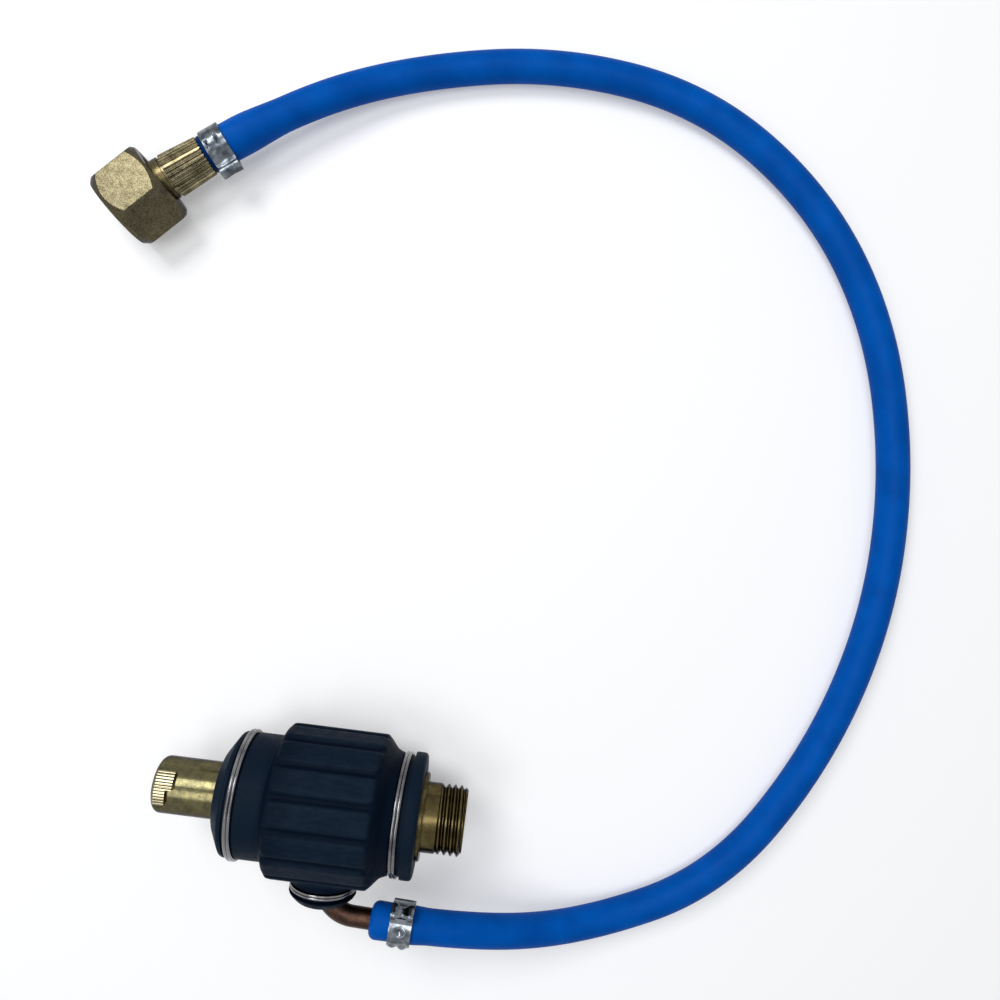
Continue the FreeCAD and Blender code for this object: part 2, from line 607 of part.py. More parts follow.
def pieces():
    """Return every sub-part by name, in its place."""
    pin_ring = Vector(PIN_FACE + PIN_RING_STATION, 0, 0)
    torch_ring = Vector((TORCH_GROOVE_START + TORCH_GROOVE_END) / 2, 0, 0)
    branch_ring = Vector(BRANCH_X, -(BRANCH_GROOVE_START + BRANCH_GROOVE_END) / 2, 0)
    elbow_clamp = ear_clamp(ELBOW_CUFF_DIAMETER)
    elbow_clamp_at = HOSE_START + ELBOW_WAY * ELBOW_CLAMP_SETBACK
    nipple_clamp = ear_clamp(NIPPLE_CUFF_DIAMETER)
    nipple_clamp_at = HOSE_END + FITTING_WAY * NIPPLE_CLAMP_SETBACK
    return {
        "contact_pin": contact_pin(),
        "core_body": core_body(),
        "side_boss": side_boss(),
        "gas_elbow": gas_elbow(),
        "rubber_boot": rubber_boot(),
        "pin_end_ring": aimed(wire_ring(PIN_RING_GROOVE), pin_ring, ALONG_X),
        "torch_end_ring": aimed(wire_ring(TORCH_RING_GROOVE), torch_ring, ALONG_X),
        "branch_ring": aimed(wire_ring(BRANCH_RING_GROOVE), branch_ring, BRANCH_WAY),
        "gas_hose": gas_hose(),
        "elbow_ear_clamp": aimed(elbow_clamp, elbow_clamp_at, ELBOW_WAY, ELBOW_EAR_ANGLE),
        "nipple_ear_clamp": aimed(nipple_clamp, nipple_clamp_at, FITTING_WAY, NIPPLE_EAR_ANGLE),
        "hose_nipple": aimed(hose_nipple(), SLEEVE_FRONT, FITTING_WAY),
        "knurled_sleeve": aimed(knurled_sleeve(), SLEEVE_FRONT, FITTING_WAY),
        "swivel_nut": aimed(swivel_nut(), NUT_MIDDLE, NUT_WAY),
    }


def main():
    """Write each sub-part to its own STEP file."""
    os.makedirs("parts", exist_ok=True)
    for name, shape in pieces().items():
        solids = shape.Solids
        print(f"{name}: {len(solids)} solid, {shape.Volume:.1f} mm3, valid {shape.isValid()}")
        shape.exportStep(os.path.join("parts", name + ".step"))


main()
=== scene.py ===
"""Looks of a TIG torch cable connector with its gas hose and swivel nut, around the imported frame.

Sizes in the classes are millimetres and are brought into the frame's metres where a mesh is drawn.
"""

import json
import logging
import math
from collections.abc import Iterator, Sequence
from contextlib import contextmanager
from dataclasses import dataclass
from enum import Enum

import bpy
from mathutils import Matrix, Quaternion, Vector

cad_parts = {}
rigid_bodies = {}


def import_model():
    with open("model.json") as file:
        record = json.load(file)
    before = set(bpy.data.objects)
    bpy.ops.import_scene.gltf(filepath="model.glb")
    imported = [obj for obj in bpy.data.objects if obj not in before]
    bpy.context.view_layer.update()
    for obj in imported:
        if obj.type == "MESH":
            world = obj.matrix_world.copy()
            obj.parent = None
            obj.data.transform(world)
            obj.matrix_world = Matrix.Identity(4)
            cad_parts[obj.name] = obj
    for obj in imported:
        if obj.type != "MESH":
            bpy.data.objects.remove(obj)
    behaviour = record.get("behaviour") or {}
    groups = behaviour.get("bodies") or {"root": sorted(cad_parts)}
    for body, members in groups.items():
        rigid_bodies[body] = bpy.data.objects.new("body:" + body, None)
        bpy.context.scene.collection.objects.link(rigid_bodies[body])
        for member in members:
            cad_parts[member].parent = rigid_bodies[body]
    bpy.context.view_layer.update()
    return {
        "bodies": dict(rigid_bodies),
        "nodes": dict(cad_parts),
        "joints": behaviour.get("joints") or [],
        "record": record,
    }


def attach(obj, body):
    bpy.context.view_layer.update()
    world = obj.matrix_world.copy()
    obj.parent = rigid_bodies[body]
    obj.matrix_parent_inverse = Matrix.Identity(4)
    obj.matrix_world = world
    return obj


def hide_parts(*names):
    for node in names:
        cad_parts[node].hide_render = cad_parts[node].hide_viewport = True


log = logging.getLogger("connector")

Piece = bpy.types.Object
Socket = bpy.types.NodeSocket
Pair = tuple[float, float]
Triple = tuple[float, float, float]
Colour = tuple[float, float, float, float]
Outline = Sequence[Pair]

MM = 0.001
PER_MM = 1000.0
WELD = 0.001  # points this close are merged
WAY_REACH = 0.0004  # metres ahead and behind, between which a line's way is taken
ALONG_X = Vector((1, 0, 0))
CONNECTOR = "connector"
NUT_BODY = "swivel_nut"

# Faces round a turned shape
COARSE = 48
MEDIUM = 72
FINE = 96
FINEST = 120


def heading(angle: float) -> Vector:
    """Return the level direction at an angle in degrees from +X towards +Y."""
    return Vector((math.cos(math.radians(angle)), math.sin(math.radians(angle)), 0))


# Places that the CAD source gives, in millimetres and degrees
TABLE_Z = -17.5
HOSE_Z = TABLE_Z + 4.0  # of the hose's middle where it lies on the table
BRANCH_X = -21.64
BRANCH_WAY = Vector((0, -1, 0))
ELBOW_WAY = heading(-2.0)
HOSE_START = Vector((-9.622, -25.545, 0))
FITTING_ANGLE = 37.5
FITTING_WAY = heading(FITTING_ANGLE)
SLEEVE_FRONT = Vector((-82.1, 144.2, -8.0))
SLEEVE_TO_HOSE_END = 10.65
HOSE_END = SLEEVE_FRONT + FITTING_WAY * SLEEVE_TO_HOSE_END
NUT_AHEAD = 8.5  # from the sleeve's front to the nut's middle
NUT_ASIDE = 0.4
NUT_ASKEW = 8.0
NUT_WAY = heading(FITTING_ANGLE + NUT_ASKEW)
NUT_MIDDLE = SLEEVE_FRONT - FITTING_WAY * NUT_AHEAD + heading(FITTING_ANGLE - 90) * NUT_ASIDE

# The hose's route between its two straight end runs, as (x, y)
END_RUN = 22.0
ROUTE = (
    (41.5, -28.0),
    (74.0, -12.0),
    (95.0, 21.0),
    (106.0, 57.5),
    (106.5, 95.0),
    (97.5, 131.5),
    (78.0, 161.0),
    (47.0, 182.0),
    (9.5, 187.0),
    (-28.5, 179.5),
)

# From the hose's ends to the clamps' bands
ELBOW_CLAMP_SETBACK = 4.7
NIPPLE_CLAMP_SETBACK = 1.0

# Where the ends of the wire rings lie, in degrees about their own axes
RING_ENDS = 262.0

# The least share of a direction of length 1 that counts as lying along an axis
UPRIGHT = 0.9
ENDWISE = 0.5


class Operation(Enum):
    """What a second mesh does to the one that it is combined with."""

    CUT = "DIFFERENCE"
    ADD = "UNION"
    KEEP = "INTERSECT"


class Element(Enum):
    """What is selected on a mesh."""

    POINT = "VERT"
    EDGE = "EDGE"
    FACE = "FACE"


# Modelling tools


def stance(point: Vector, way: Vector, roll: float = 0.0) -> Matrix:
    """Return the matrix that rolls a shape about +X, aims +X along a way and moves it to a point.

    Args:
        point: Where the shape's origin goes, in millimetres.
        way: The direction that its +X takes.
        roll: Turn about its own +X first, in degrees.

    Returns:
        The placement, in metres.
    """
    turn = ALONG_X.rotation_difference(way) @ Quaternion(ALONG_X, math.radians(roll))
    return Matrix.Translation(point * MM) @ turn.to_matrix().to_4x4()


def on_branch(piece: Piece) -> Piece:
    """Move a shape about +X onto the gas branch's axis, and return it."""
    piece.data.transform(stance(Vector((BRANCH_X, 0, 0)), BRANCH_WAY))
    return piece


def deselect() -> None:
    """Leave object mode with nothing selected."""
    if bpy.context.object and bpy.context.object.mode != "OBJECT":
        bpy.ops.object.mode_set(mode="OBJECT")
    bpy.ops.object.select_all(action="DESELECT")


def take(piece: Piece) -> None:
    """Make a piece the only selected and the active one."""
    deselect()
    piece.select_set(True)
    bpy.context.view_layer.objects.active = piece


@contextmanager
def editing(
    piece: Piece, element: Element = Element.POINT, chosen: Sequence[int] | None = None
) -> Iterator[None]:
    """Edit a piece for the length of a with block.

    Args:
        piece: The mesh that is edited.
        element: What is selected on it.
        chosen: The selected edges or faces by number, or None for all of the mesh.
    """
    take(piece)
    bpy.ops.object.mode_set(mode="EDIT")
    bpy.ops.mesh.select_mode(type=element.value)
    bpy.ops.mesh.select_all(action="SELECT" if chosen is None else "DESELECT")
    if chosen is not None:
        bpy.ops.object.mode_set(mode="OBJECT")
        found = piece.data.edges if element is Element.EDGE else piece.data.polygons
        for index in chosen:
            found[index].select = True
        bpy.ops.object.mode_set(mode="EDIT")
    yield
    bpy.ops.object.mode_set(mode="OBJECT")


def weld() -> None:
    """Merge the doubled points of the mesh that is being edited."""
    bpy.ops.mesh.select_all(action="SELECT")
    bpy.ops.mesh.remove_doubles(threshold=WELD * MM)


def face_out() -> None:
    """Point the faces of the mesh that is being edited outwards."""
    bpy.ops.mesh.select_all(action="SELECT")
    bpy.ops.mesh.normals_make_consistent(inside=False)


def modify(piece: Piece, kind: str, **settings: object) -> Piece:
    """Give a piece a modifier with these settings and apply it.

    Args:
        piece: The mesh that is changed.
        kind: Blender's name for the modifier's type.
        **settings: Values of the modifier's own properties.

    Returns:
        The piece.
    """
    take(piece)
    modifier = piece.modifiers.new(kind.title(), kind)
    for name, value in settings.items():
        setattr(modifier, name, value)
    bpy.ops.object.modifier_apply(modifier=modifier.name)
    return piece


def combine(piece: Piece, other: Piece, operation: Operation) -> Piece:
    """Combine a piece with another, which is used up.

    Args:
        piece: The mesh that stays.
        other: The mesh that it is combined with.
        operation: What the other mesh does to it.

    Returns:
        The piece.
    """
    modify(piece, "BOOLEAN", operation=operation.value, solver="EXACT", object=other)
    bpy.data.objects.remove(other)
    return piece


def soften(piece: Piece, width: float, segments: int = 2, angle: float = 30.0) -> Piece:
    """Round the edges of a piece that are sharper than an angle.

    Args:
        piece: The mesh that is changed.
        width: Width of the rounding in millimetres.
        segments: Faces across it.
        angle: The least edge angle in degrees.

    Returns:
        The piece.
    """
    return modify(
        piece,
        "BEVEL",
        width=width * MM,
        segments=segments,
        limit_method="ANGLE",
        angle_limit=math.radians(angle),
        use_clamp_overlap=True,
    )


def smooth(piece: Piece, angle: float) -> None:
    """Shade a piece smooth but for edges sharper than an angle in degrees."""
    take(piece)
    bpy.ops.object.shade_smooth_by_angle(angle=math.radians(angle))


def joined(name: str, parts: Sequence[Piece]) -> Piece:
    """Join several meshes into the first one.

    Args:
        name: The name of the whole.
        parts: The meshes.

    Returns:
        The whole.
    """
    deselect()
    for part in parts:
        part.select_set(True)
    bpy.context.view_layer.objects.active = parts[0]
    bpy.ops.object.join()
    parts[0].name = name
    return parts[0]


def drawn(name: str, points: Outline) -> Piece:
    """Draw an open line in the XY plane by extruding one vertex from point to point.

    Args:
        name: The new object's name.
        points: Its points as (x, y) in millimetres.

    Returns:
        The line, as a mesh object at the origin.
    """
    deselect()
    bpy.ops.mesh.primitive_plane_add(size=MM)
    piece = bpy.context.object
    piece.name = name
    here = Vector((*points[0], 0))
    with editing(piece):
        bpy.ops.mesh.merge(type="CENTER")
        bpy.ops.transform.translate(value=here * MM)
        for x, y in points[1:]:
            there = Vector((x, y, 0))
            bpy.ops.mesh.extrude_region_move(TRANSFORM_OT_translate={"value": (there - here) * MM})
            here = there
    return piece


def closed_section(name: str, corners: Outline) -> Piece:
    """Draw a line round through these corners and back to the first.

    Args:
        name: The new object's name.
        corners: Its corners as (x, y) in millimetres.

    Returns:
        The loop, as a mesh object at the origin.
    """
    section = drawn(name, [*corners, corners[0]])
    with editing(section):
        weld()
    return section


def turned(name: str, outline: Outline, steps: int = FINE) -> Piece:
    """Turn an outline about X, as on a lathe.

    Args:
        name: The new object's name.
        outline: (station, radius) pairs in millimetres, from the axis back to the axis, or closed on itself.
        steps: Faces around.

    Returns:
        A closed solid about X.
    """
    piece = drawn(name, outline)
    with editing(piece):
        bpy.ops.mesh.spin(steps=steps, angle=math.tau, center=(0, 0, 0), axis=ALONG_X)
        weld()
        face_out()
    return piece


def wound(name: str, section: Piece, turns: float, pitch: float, steps: int) -> Piece:
    """Wind a flat section about X and close its two ends.

    Args:
        name: The wound piece's name.
        section: The section's loop, in the XY plane.
        turns: Number of turns.
        pitch: Millimetres along X for each turn.
        steps: Faces for each turn.

    Returns:
        The section's object, now a closed helical bar.
    """
    section.name = name
    modify(
        section,
        "SCREW",
        axis="X",
        angle=math.tau * turns,
        screw_offset=pitch * turns * MM,
        steps=round(steps * turns),
        render_steps=round(steps * turns),
        iterations=1,
        use_smooth_shade=False,
    )
    with editing(section):
        weld()
        bpy.ops.mesh.fill_holes(sides=0)
        face_out()
    return section


def prism(name: str, sides: int, radius: float, start: float, end: float) -> Piece:
    """Add a prism along X, with a corner towards +Y.

    Args:
        name: The new object's name.
        sides: Number of sides.
        radius: Of its corners, in millimetres.
        start: Its first station in millimetres.
        end: Its last station in millimetres.

    Returns:
        The prism, with its place in its mesh.
    """
    deselect()
    bpy.ops.mesh.primitive_cylinder_add(
        vertices=sides,
        radius=radius * MM,
        depth=(end - start) * MM,
        location=((start + end) / 2 * MM, 0, 0),
        rotation=(0, math.pi / 2, 0),
    )
    piece = bpy.context.object
    piece.name = name
    bpy.ops.object.transform_apply(location=True, rotation=True, scale=True)
    return piece


def mounted(
    piece: Piece,
    place: Matrix,
    material: bpy.types.Material,
    body: str,
    node: str,
) -> Piece:
    """Put a finished piece in its place on its body, with its finish.

    Args:
        piece: The piece, modelled about the origin.
        place: Where it goes; it is worked into the mesh.
        material: Its finish.
        body: The CAD body that it moves with.
        node: The CAD node that it stands for.

    Returns:
        The piece.
    """
    piece.data.transform(place)
    piece.data.materials.clear()
    piece.data.materials.append(material)
    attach(piece, body)
    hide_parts(node)
    log.info("%s: %d faces, on %s", piece.name, len(piece.data.polygons), body)
    return piece


# Finishes


@dataclass(frozen=True)
class Noise:
    """A noise: its features for each millimetre, how many finer layers it has and how strong they are."""

    scale: float
    detail: float = 3.0
    rough: float = 0.5


@dataclass(frozen=True)
class Span:
    """A range that is stretched onto another, from first to last, and held at both ends."""

    low: float
    high: float
    first: float = 0.0
    last: float = 1.0


class Board:
    """The nodes of a material or of the world, laid out in order."""

    def __init__(self, owner: bpy.types.Material | bpy.types.World) -> None:
        """Turn an owner's nodes on.

        Args:
            owner: The material or the world.
        """
        owner.use_nodes = True
        self.owner = owner
        self.tree = owner.node_tree

    def node(self, kind: str, inputs: dict | None = None, **values: object) -> bpy.types.Node:
        """Add a node.

        Args:
            kind: The node's type without its ShaderNode prefix.
            inputs: Socket values, or sockets to link, by socket name or number.
            **values: The node's own properties.

        Returns:
            The node.
        """
        made = self.tree.nodes.new("ShaderNode" + kind)
        for name, value in values.items():
            setattr(made, name, value)
        for key, value in (inputs or {}).items():
            self.give(made.inputs[key], value)
        return made

    def give(self, socket: Socket, value: object) -> None:
        """Set a socket's value, or link another socket to it.

        Args:
            socket: The input.
            value: The value, or the output that is linked to it.
        """
        if isinstance(value, Socket):
            self.tree.links.new(value, socket)
        else:
            socket.default_value = value

    def place(self, way: Vector = ALONG_X, stretch: Triple = (1, 1, 1)) -> Socket:
        """Add the place on the piece in millimetres.

        Args:
            way: The direction that is turned to lie along X.
            stretch: What the turned place is multiplied by.

        Returns:
            The place's socket.
        """
        coordinates = self.node("TexCoord").outputs["Object"]
        turn = way.rotation_difference(ALONG_X).to_euler()
        inputs = {"Vector": coordinates, "Rotation": turn, "Scale": (PER_MM,) * 3}
        along = self.node("Mapping", inputs).outputs[0]
        return self.node("Mapping", {"Vector": along, "Scale": stretch}).outputs[0]

    def reach(self, place: Socket) -> Socket:
        """Add a place's distance from the X axis.

        Args:
            place: The place's socket.

        Returns:
            The distance's socket.
        """
        split = self.node("SeparateXYZ", {"Vector": place})
        squares = [self.math("MULTIPLY", split.outputs[axis], split.outputs[axis]) for axis in (1, 2)]
        return self.math("SQRT", self.math("ADD", *squares))

    def noise(self, place: Socket, noise: Noise) -> Socket:
        """Return a noise from 0 to 1 at a place."""
        inputs = {"Vector": place, "Scale": noise.scale, "Detail": noise.detail, "Roughness": noise.rough}
        return self.node("TexNoise", inputs).outputs["Fac"]

    def steps(self, value: Socket, span: Span) -> Socket:
        """Stretch a value over a span.

        Args:
            value: The value's socket.
            span: The ranges that it is stretched from and onto.

        Returns:
            The result's socket.
        """
        inputs = {
            "Value": value,
            "From Min": span.low,
            "From Max": span.high,
            "To Min": span.first,
            "To Max": span.last,
        }
        return self.node("MapRange", inputs).outputs["Result"]

    def math(self, operation: str, *values: object) -> Socket:
        """Return the result of a sum on sockets or numbers."""
        return self.node("Math", dict(enumerate(values)), operation=operation).outputs[0]

    def blend(self, share: Socket, first: object, second: object) -> Socket:
        """Mix two colours.

        Args:
            share: How much of the second there is, from 0 to 1.
            first: A colour or its socket.
            second: A colour or its socket.

        Returns:
            The mixed colour's socket.
        """
        mixed = self.node("Mix", data_type="RGBA")
        colours = [socket for socket in mixed.inputs if socket.type == "RGBA"]
        self.give(mixed.inputs["Factor"], share)
        self.give(colours[0], first)
        self.give(colours[1], second)
        return next(socket for socket in mixed.outputs if socket.type == "RGBA")

    def relief(self, height: Socket, depth: float, under: Socket | None = None) -> Socket:
        """Add a relief.

        Args:
            height: Its height, from 0 to 1.
            depth: What that height is worth, in millimetres.
            under: The normal of the relief that it lies on.

        Returns:
            The normal's socket.
        """
        bump = self.node("Bump", {"Height": height, "Distance": depth * MM, "Strength": 1.0})
        if under is not None:
            self.give(bump.inputs["Normal"], under)
        return bump.outputs["Normal"]

    def finish(self, **sockets: object) -> bpy.types.Material:
        """Set the sockets of the material's shader.

        Args:
            **sockets: Values or sockets, by socket name with underscores for spaces.

        Returns:
            The material.
        """
        shader = self.tree.nodes["Principled BSDF"]
        for name, value in sockets.items():
            self.give(shader.inputs[name.replace("_", " ")], value)
        return self.owner


@dataclass(frozen=True)
class Rubber:
    """Moulded rubber: matt, with a fine grain and flow marks; its lands are paler from scuffs and from
    painted light, and its pin-end neck and torch-end lip are painted paler, so that the barrel's floor
    between the lands and its end ramps stay dark as painted shade.
    """

    name: str
    colour: Colour
    # paler colour for both rubbed wear and painted light
    worn_and_lit: Colour
    specular: float = 0.03
    proud: Span = Span(16.85, 17.5)
    clear: Span = Span(17.6, 18.3, 1.0, 0.0)
    fade: Span = Span(-33.5, -27.0, 0.4, 1.0)
    neck: Span = Span(-36.6, -34.6, 0.62, 0.0)
    lip: Span = Span(-6.2, -4.2, 0.0, 0.62)
    scuff: Noise = Noise(0.7, 6.0, 0.65)
    scuff_stretch: Triple = (0.5, 1.6, 1.6)
    scuff_share: Span = Span(0.3, 0.65, 0.45, 1.0)
    cloud: Noise = Noise(0.16, 4.0)
    cloud_share: Span = Span(0.35, 0.7, 0.0, 0.12)
    grain: Noise = Noise(5.0, 3.0, 0.6)
    grain_depth: float = 0.02
    flow: Noise = Noise(0.5)
    flow_stretch: Triple = (0.35, 2.2, 2.2)
    flow_depth: float = 0.05
    sheen: Noise = Noise(0.6, 4.0)
    roughness: Span = Span(0.3, 0.7, 0.42, 0.6)

    def material(self) -> bpy.types.Material:
        """Make the finish.

        Returns:
            The material.
        """
        board = Board(bpy.data.materials.new(self.name))
        place = board.place()
        along = board.node("SeparateXYZ", {"Vector": place}).outputs[0]
        reach = board.reach(place)
        # painted light: the raised lands are painted paler, leaving the barrel's floor dark as painted shade
        lands = board.math("MULTIPLY", board.steps(reach, self.proud), board.steps(reach, self.clear))
        lands = board.math("MULTIPLY", lands, board.steps(along, self.fade))
        scuff = board.noise(board.place(stretch=self.scuff_stretch), self.scuff)
        # scuff noise varies the lands' paleness as rubbed wear
        lit_and_rubbed_lands = board.math("MULTIPLY", lands, board.steps(scuff, self.scuff_share))
        # painted light: the neck and the lip are painted paler than the shaded barrel floor and ramps
        ends = board.math("MAXIMUM", board.steps(along, self.neck), board.steps(along, self.lip))
        cloud = board.steps(board.noise(place, self.cloud), self.cloud_share)
        pale = board.math("MAXIMUM", lit_and_rubbed_lands, board.math("MAXIMUM", cloud, ends))
        grain = board.relief(board.noise(place, self.grain), self.grain_depth)
        flow = board.noise(board.place(stretch=self.flow_stretch), self.flow)
        return board.finish(
            Base_Color=board.blend(pale, self.colour, self.worn_and_lit),
            Roughness=board.steps(board.noise(place, self.sheen), self.roughness),
            Specular_IOR_Level=self.specular,
            Normal=board.relief(flow, self.flow_depth, grain),
        )


@dataclass(frozen=True)
class Brass:
    """Brass as it leaves the tool, with turning marks about an axis, blotches of tarnish and a speckle.

    What stands further from the axis than `rubbed` is rubbed to the polished colour.
    """

    name: str
    bright: Colour
    dull: Colour
    way: Vector
    roughness: Pair = (0.2, 0.38)
    marks: float = 0.012
    blotch: Noise = Noise(0.35, 5.0, 0.6)
    speck: float = 0.3
    rubbed: float | None = None
    rub_edge: float = 0.1
    polish: Colour = (0.30, 0.265, 0.17, 1)
    edge: Colour = (0.5, 0.5, 0.56, 1)
    blotch_span: Pair = (0.35, 0.68)
    speckle: Noise = Noise(3.2, 3.0, 0.7)
    speckle_span: Pair = (0.42, 0.62)
    speckle_depth: float = 0.03
    turning: Noise = Noise(1.0, 4.0, 0.7)
    turning_stretch: Triple = (7.0, 0.12, 0.12)
    scratch: Noise = Noise(1.0, 2.0)
    scratch_stretch: Triple = (0.4, 6.0, 6.0)
    scratch_depth: float = 0.006
    worked: Pair = (0.1, 0.45)

    def material(self) -> bpy.types.Material:
        """Make the finish.

        Returns:
            The material.
        """
        board = Board(bpy.data.materials.new(self.name))
        place = board.place(self.way)
        turning = board.noise(board.place(self.way, self.turning_stretch), self.turning)
        blotch = board.noise(place, self.blotch)
        speckle = board.noise(place, self.speckle)
        scratch = board.noise(board.place(self.way, self.scratch_stretch), self.scratch)
        tarnish = board.math(
            "ADD",
            board.steps(blotch, Span(*self.blotch_span, 0.0, 1.0 - self.speck)),
            board.steps(speckle, Span(*self.speckle_span, 0.0, self.speck)),
        )
        grain = board.relief(speckle, self.speckle_depth * self.speck)
        colour = board.blend(tarnish, self.bright, self.dull)
        if self.rubbed is not None:
            rim = Span(self.rubbed - self.rub_edge, self.rubbed + self.rub_edge)
            colour = board.blend(board.steps(board.reach(place), rim), colour, self.polish)
        worked = board.math("MULTIPLY", turning, blotch)
        return board.finish(
            Base_Color=colour,
            Specular_Tint=self.edge,
            Metallic=1.0,
            Roughness=board.steps(worked, Span(*self.worked, *self.roughness)),
            Normal=board.relief(turning, self.marks, board.relief(scratch, self.scratch_depth, grain)),
        )


@dataclass(frozen=True)
class Steel:
    """Drawn or rolled steel: clouded, with fine marks that are longer along one way than across it."""

    name: str
    bright: Colour
    dull: Colour
    way: Vector
    stretch: Triple
    depth: float
    roughness: Pair
    cloud: Noise = Noise(0.55, 4.0)
    cloud_span: Span = Span(0.35, 0.65)
    sheen_span: Pair = (0.3, 0.75)
    scratch: Noise = Noise(1.0, 5.0, 0.65)

    def material(self) -> bpy.types.Material:
        """Make the finish.

        Returns:
            The material.
        """
        board = Board(bpy.data.materials.new(self.name))
        scratches = board.noise(board.place(self.way, self.stretch), self.scratch)
        cloud = board.noise(board.place(self.way), self.cloud)
        return board.finish(
            Base_Color=board.blend(board.steps(cloud, self.cloud_span), self.bright, self.dull),
            Metallic=1.0,
            Roughness=board.steps(cloud, Span(*self.sheen_span, *self.roughness)),
            Normal=board.relief(scratches, self.depth),
        )


@dataclass(frozen=True)
class HoseRubber:
    """Smooth blue hose rubber with faint cloudy patches and a braid that just shows, on the hose's own map.

    The last millimetres, between the clamp and the sleeve, are darkened to the `shade` colour as painted
    shade.
    """

    name: str
    colour: Colour
    deep: Colour
    # painted shade: the colour and the length of the darkened strip at the hose's end between the clamp and
    # the sleeve
    shade: Colour
    shaded_end: float = 1.1
    shaded_end_edge: float = 0.2
    strands: int = 22
    lay: float = 30.0
    braid_share: Span = Span(-1.0, 1.0, 0.0, 0.1)
    braid_depth: float = 0.006
    cloud: Noise = Noise(0.12)
    cloud_share: Span = Span(0.35, 0.65, 0.0, 0.75)
    grain: Noise = Noise(3.0, 4.0, 0.6)
    grain_depth: float = 0.012
    roughness: Span = Span(0.3, 0.7, 0.36, 0.5)
    specular: float = 0.03

    def material(self, length: float) -> bpy.types.Material:
        """Make the finish.

        Args:
            length: The hose's length in millimetres.

        Returns:
            The material.
        """
        board = Board(bpy.data.materials.new(self.name))
        on_map = board.node("UVMap", uv_map="Length").outputs["UV"]
        split = board.node("SeparateXYZ", {"Vector": on_map})
        around = board.math("MULTIPLY", split.outputs[0], self.strands)
        along = board.math("MULTIPLY", split.outputs[1], self.strands / self.lay)
        ridges = []
        for operation in ("ADD", "SUBTRACT"):
            phase = board.math("MULTIPLY", board.math(operation, around, along), math.tau)
            ridges.append(board.math("SINE", phase))
        braid = board.math("MULTIPLY", *ridges)
        place = board.place()
        grain = board.noise(place, self.grain)
        cloud = board.steps(board.noise(place, self.cloud), self.cloud_share)
        tone = board.math("ADD", board.steps(braid, self.braid_share), cloud)
        # painted shade: the strip of hose between the clamp and the sleeve is darkened to the shade colour
        shaded_end = length - self.shaded_end
        in_painted_shade = board.steps(split.outputs[1], Span(shaded_end - self.shaded_end_edge, shaded_end + self.shaded_end_edge))
        return board.finish(
            Base_Color=board.blend(in_painted_shade, board.blend(tone, self.colour, self.deep), self.shade),
            Roughness=board.steps(grain, self.roughness),
            Specular_IOR_Level=self.specular,
            Normal=board.relief(braid, self.braid_depth, board.relief(grain, self.grain_depth)),
        )


@dataclass(frozen=True)
class Copper:
    """Copper tube gone brown, with brighter rubbed marks."""

    name: str
    bright: Colour
    dull: Colour
    blotch: Noise = Noise(0.5, 5.0, 0.65)
    blotch_span: Span = Span(0.35, 0.7)
    fine: Noise = Noise(4.0)
    fine_depth: float = 0.01
    roughness: Span = Span(0.3, 0.7, 0.3, 0.48)

    def material(self) -> bpy.types.Material:
        """Make the finish.

        Returns:
            The material.
        """
        board = Board(bpy.data.materials.new(self.name))
        place = board.place()
        blotch = board.noise(place, self.blotch)
        fine = board.noise(place, self.fine)
        return board.finish(
            Base_Color=board.blend(board.steps(blotch, self.blotch_span), self.dull, self.bright),
            Metallic=1.0,
            Roughness=board.steps(fine, self.roughness),
            Normal=board.relief(fine, self.fine_depth),
        )


# the second colour serves both rubbed wear and the painted light on the lands, neck and lip
BOOT_RUBBER = Rubber("boot_rubber_navy", (0.0006, 0.0040, 0.0115, 1), (0.0078, 0.0168, 0.0320, 1))
# the third colour is the painted shade on the hose's end by the sleeve
HOSE_BLUE = HoseRubber(
    "hose_rubber_blue", (0.0, 0.098, 0.47, 1), (0.0, 0.070, 0.36, 1), (0.0, 0.020, 0.10, 1)
)
TUBE_COPPER = Copper("tube_copper", (0.075, 0.040, 0.028, 1), (0.026, 0.016, 0.013, 1))
PIN_BRASS = Brass(
    "pin_brass",
    (0.15, 0.132, 0.062, 1),
    (0.048, 0.047, 0.029, 1),
    ALONG_X,
    (0.12, 0.26),
    marks=0.004,
    blotch=Noise(0.55, 5.0, 0.6),
    speck=0.35,
    rubbed=6.8,
)
CORE_BRASS = Brass(
    "core_brass",
    (0.105, 0.083, 0.034, 1),
    (0.036, 0.028, 0.012, 1),
    ALONG_X,
    (0.14, 0.28),
    marks=0.008,
    speck=0.15,
)
BOSS_BRASS = Brass("boss_brass", (0.14, 0.105, 0.045, 1), (0.06, 0.045, 0.02, 1), BRANCH_WAY)
NIPPLE_BRASS = Brass("nipple_brass", (0.15, 0.125, 0.06, 1), (0.06, 0.048, 0.022, 1), FITTING_WAY)
SLEEVE_BRASS = Brass(
    "sleeve_brass",
    (0.19, 0.165, 0.10, 1),
    (0.030, 0.025, 0.013, 1),
    FITTING_WAY,
    (0.14, 0.28),
    marks=0.003,
)
NUT_BRASS = Brass(
    "nut_brass",
    (0.128, 0.112, 0.068, 1),
    (0.031, 0.026, 0.012, 1),
    NUT_WAY,
    (0.2, 0.34),
    marks=0.003,
    blotch=Noise(0.6, 5.0, 0.6),
    speck=0.7,
)
RING_STEEL = Steel(
    "ring_steel",
    (0.24, 0.24, 0.245, 1),
    (0.075, 0.075, 0.08, 1),
    ALONG_X,
    stretch=(0.3, 0.3, 0.3),
    depth=0.001,
    roughness=(0.09, 0.18),
    cloud=Noise(0.12, 4.0),
)
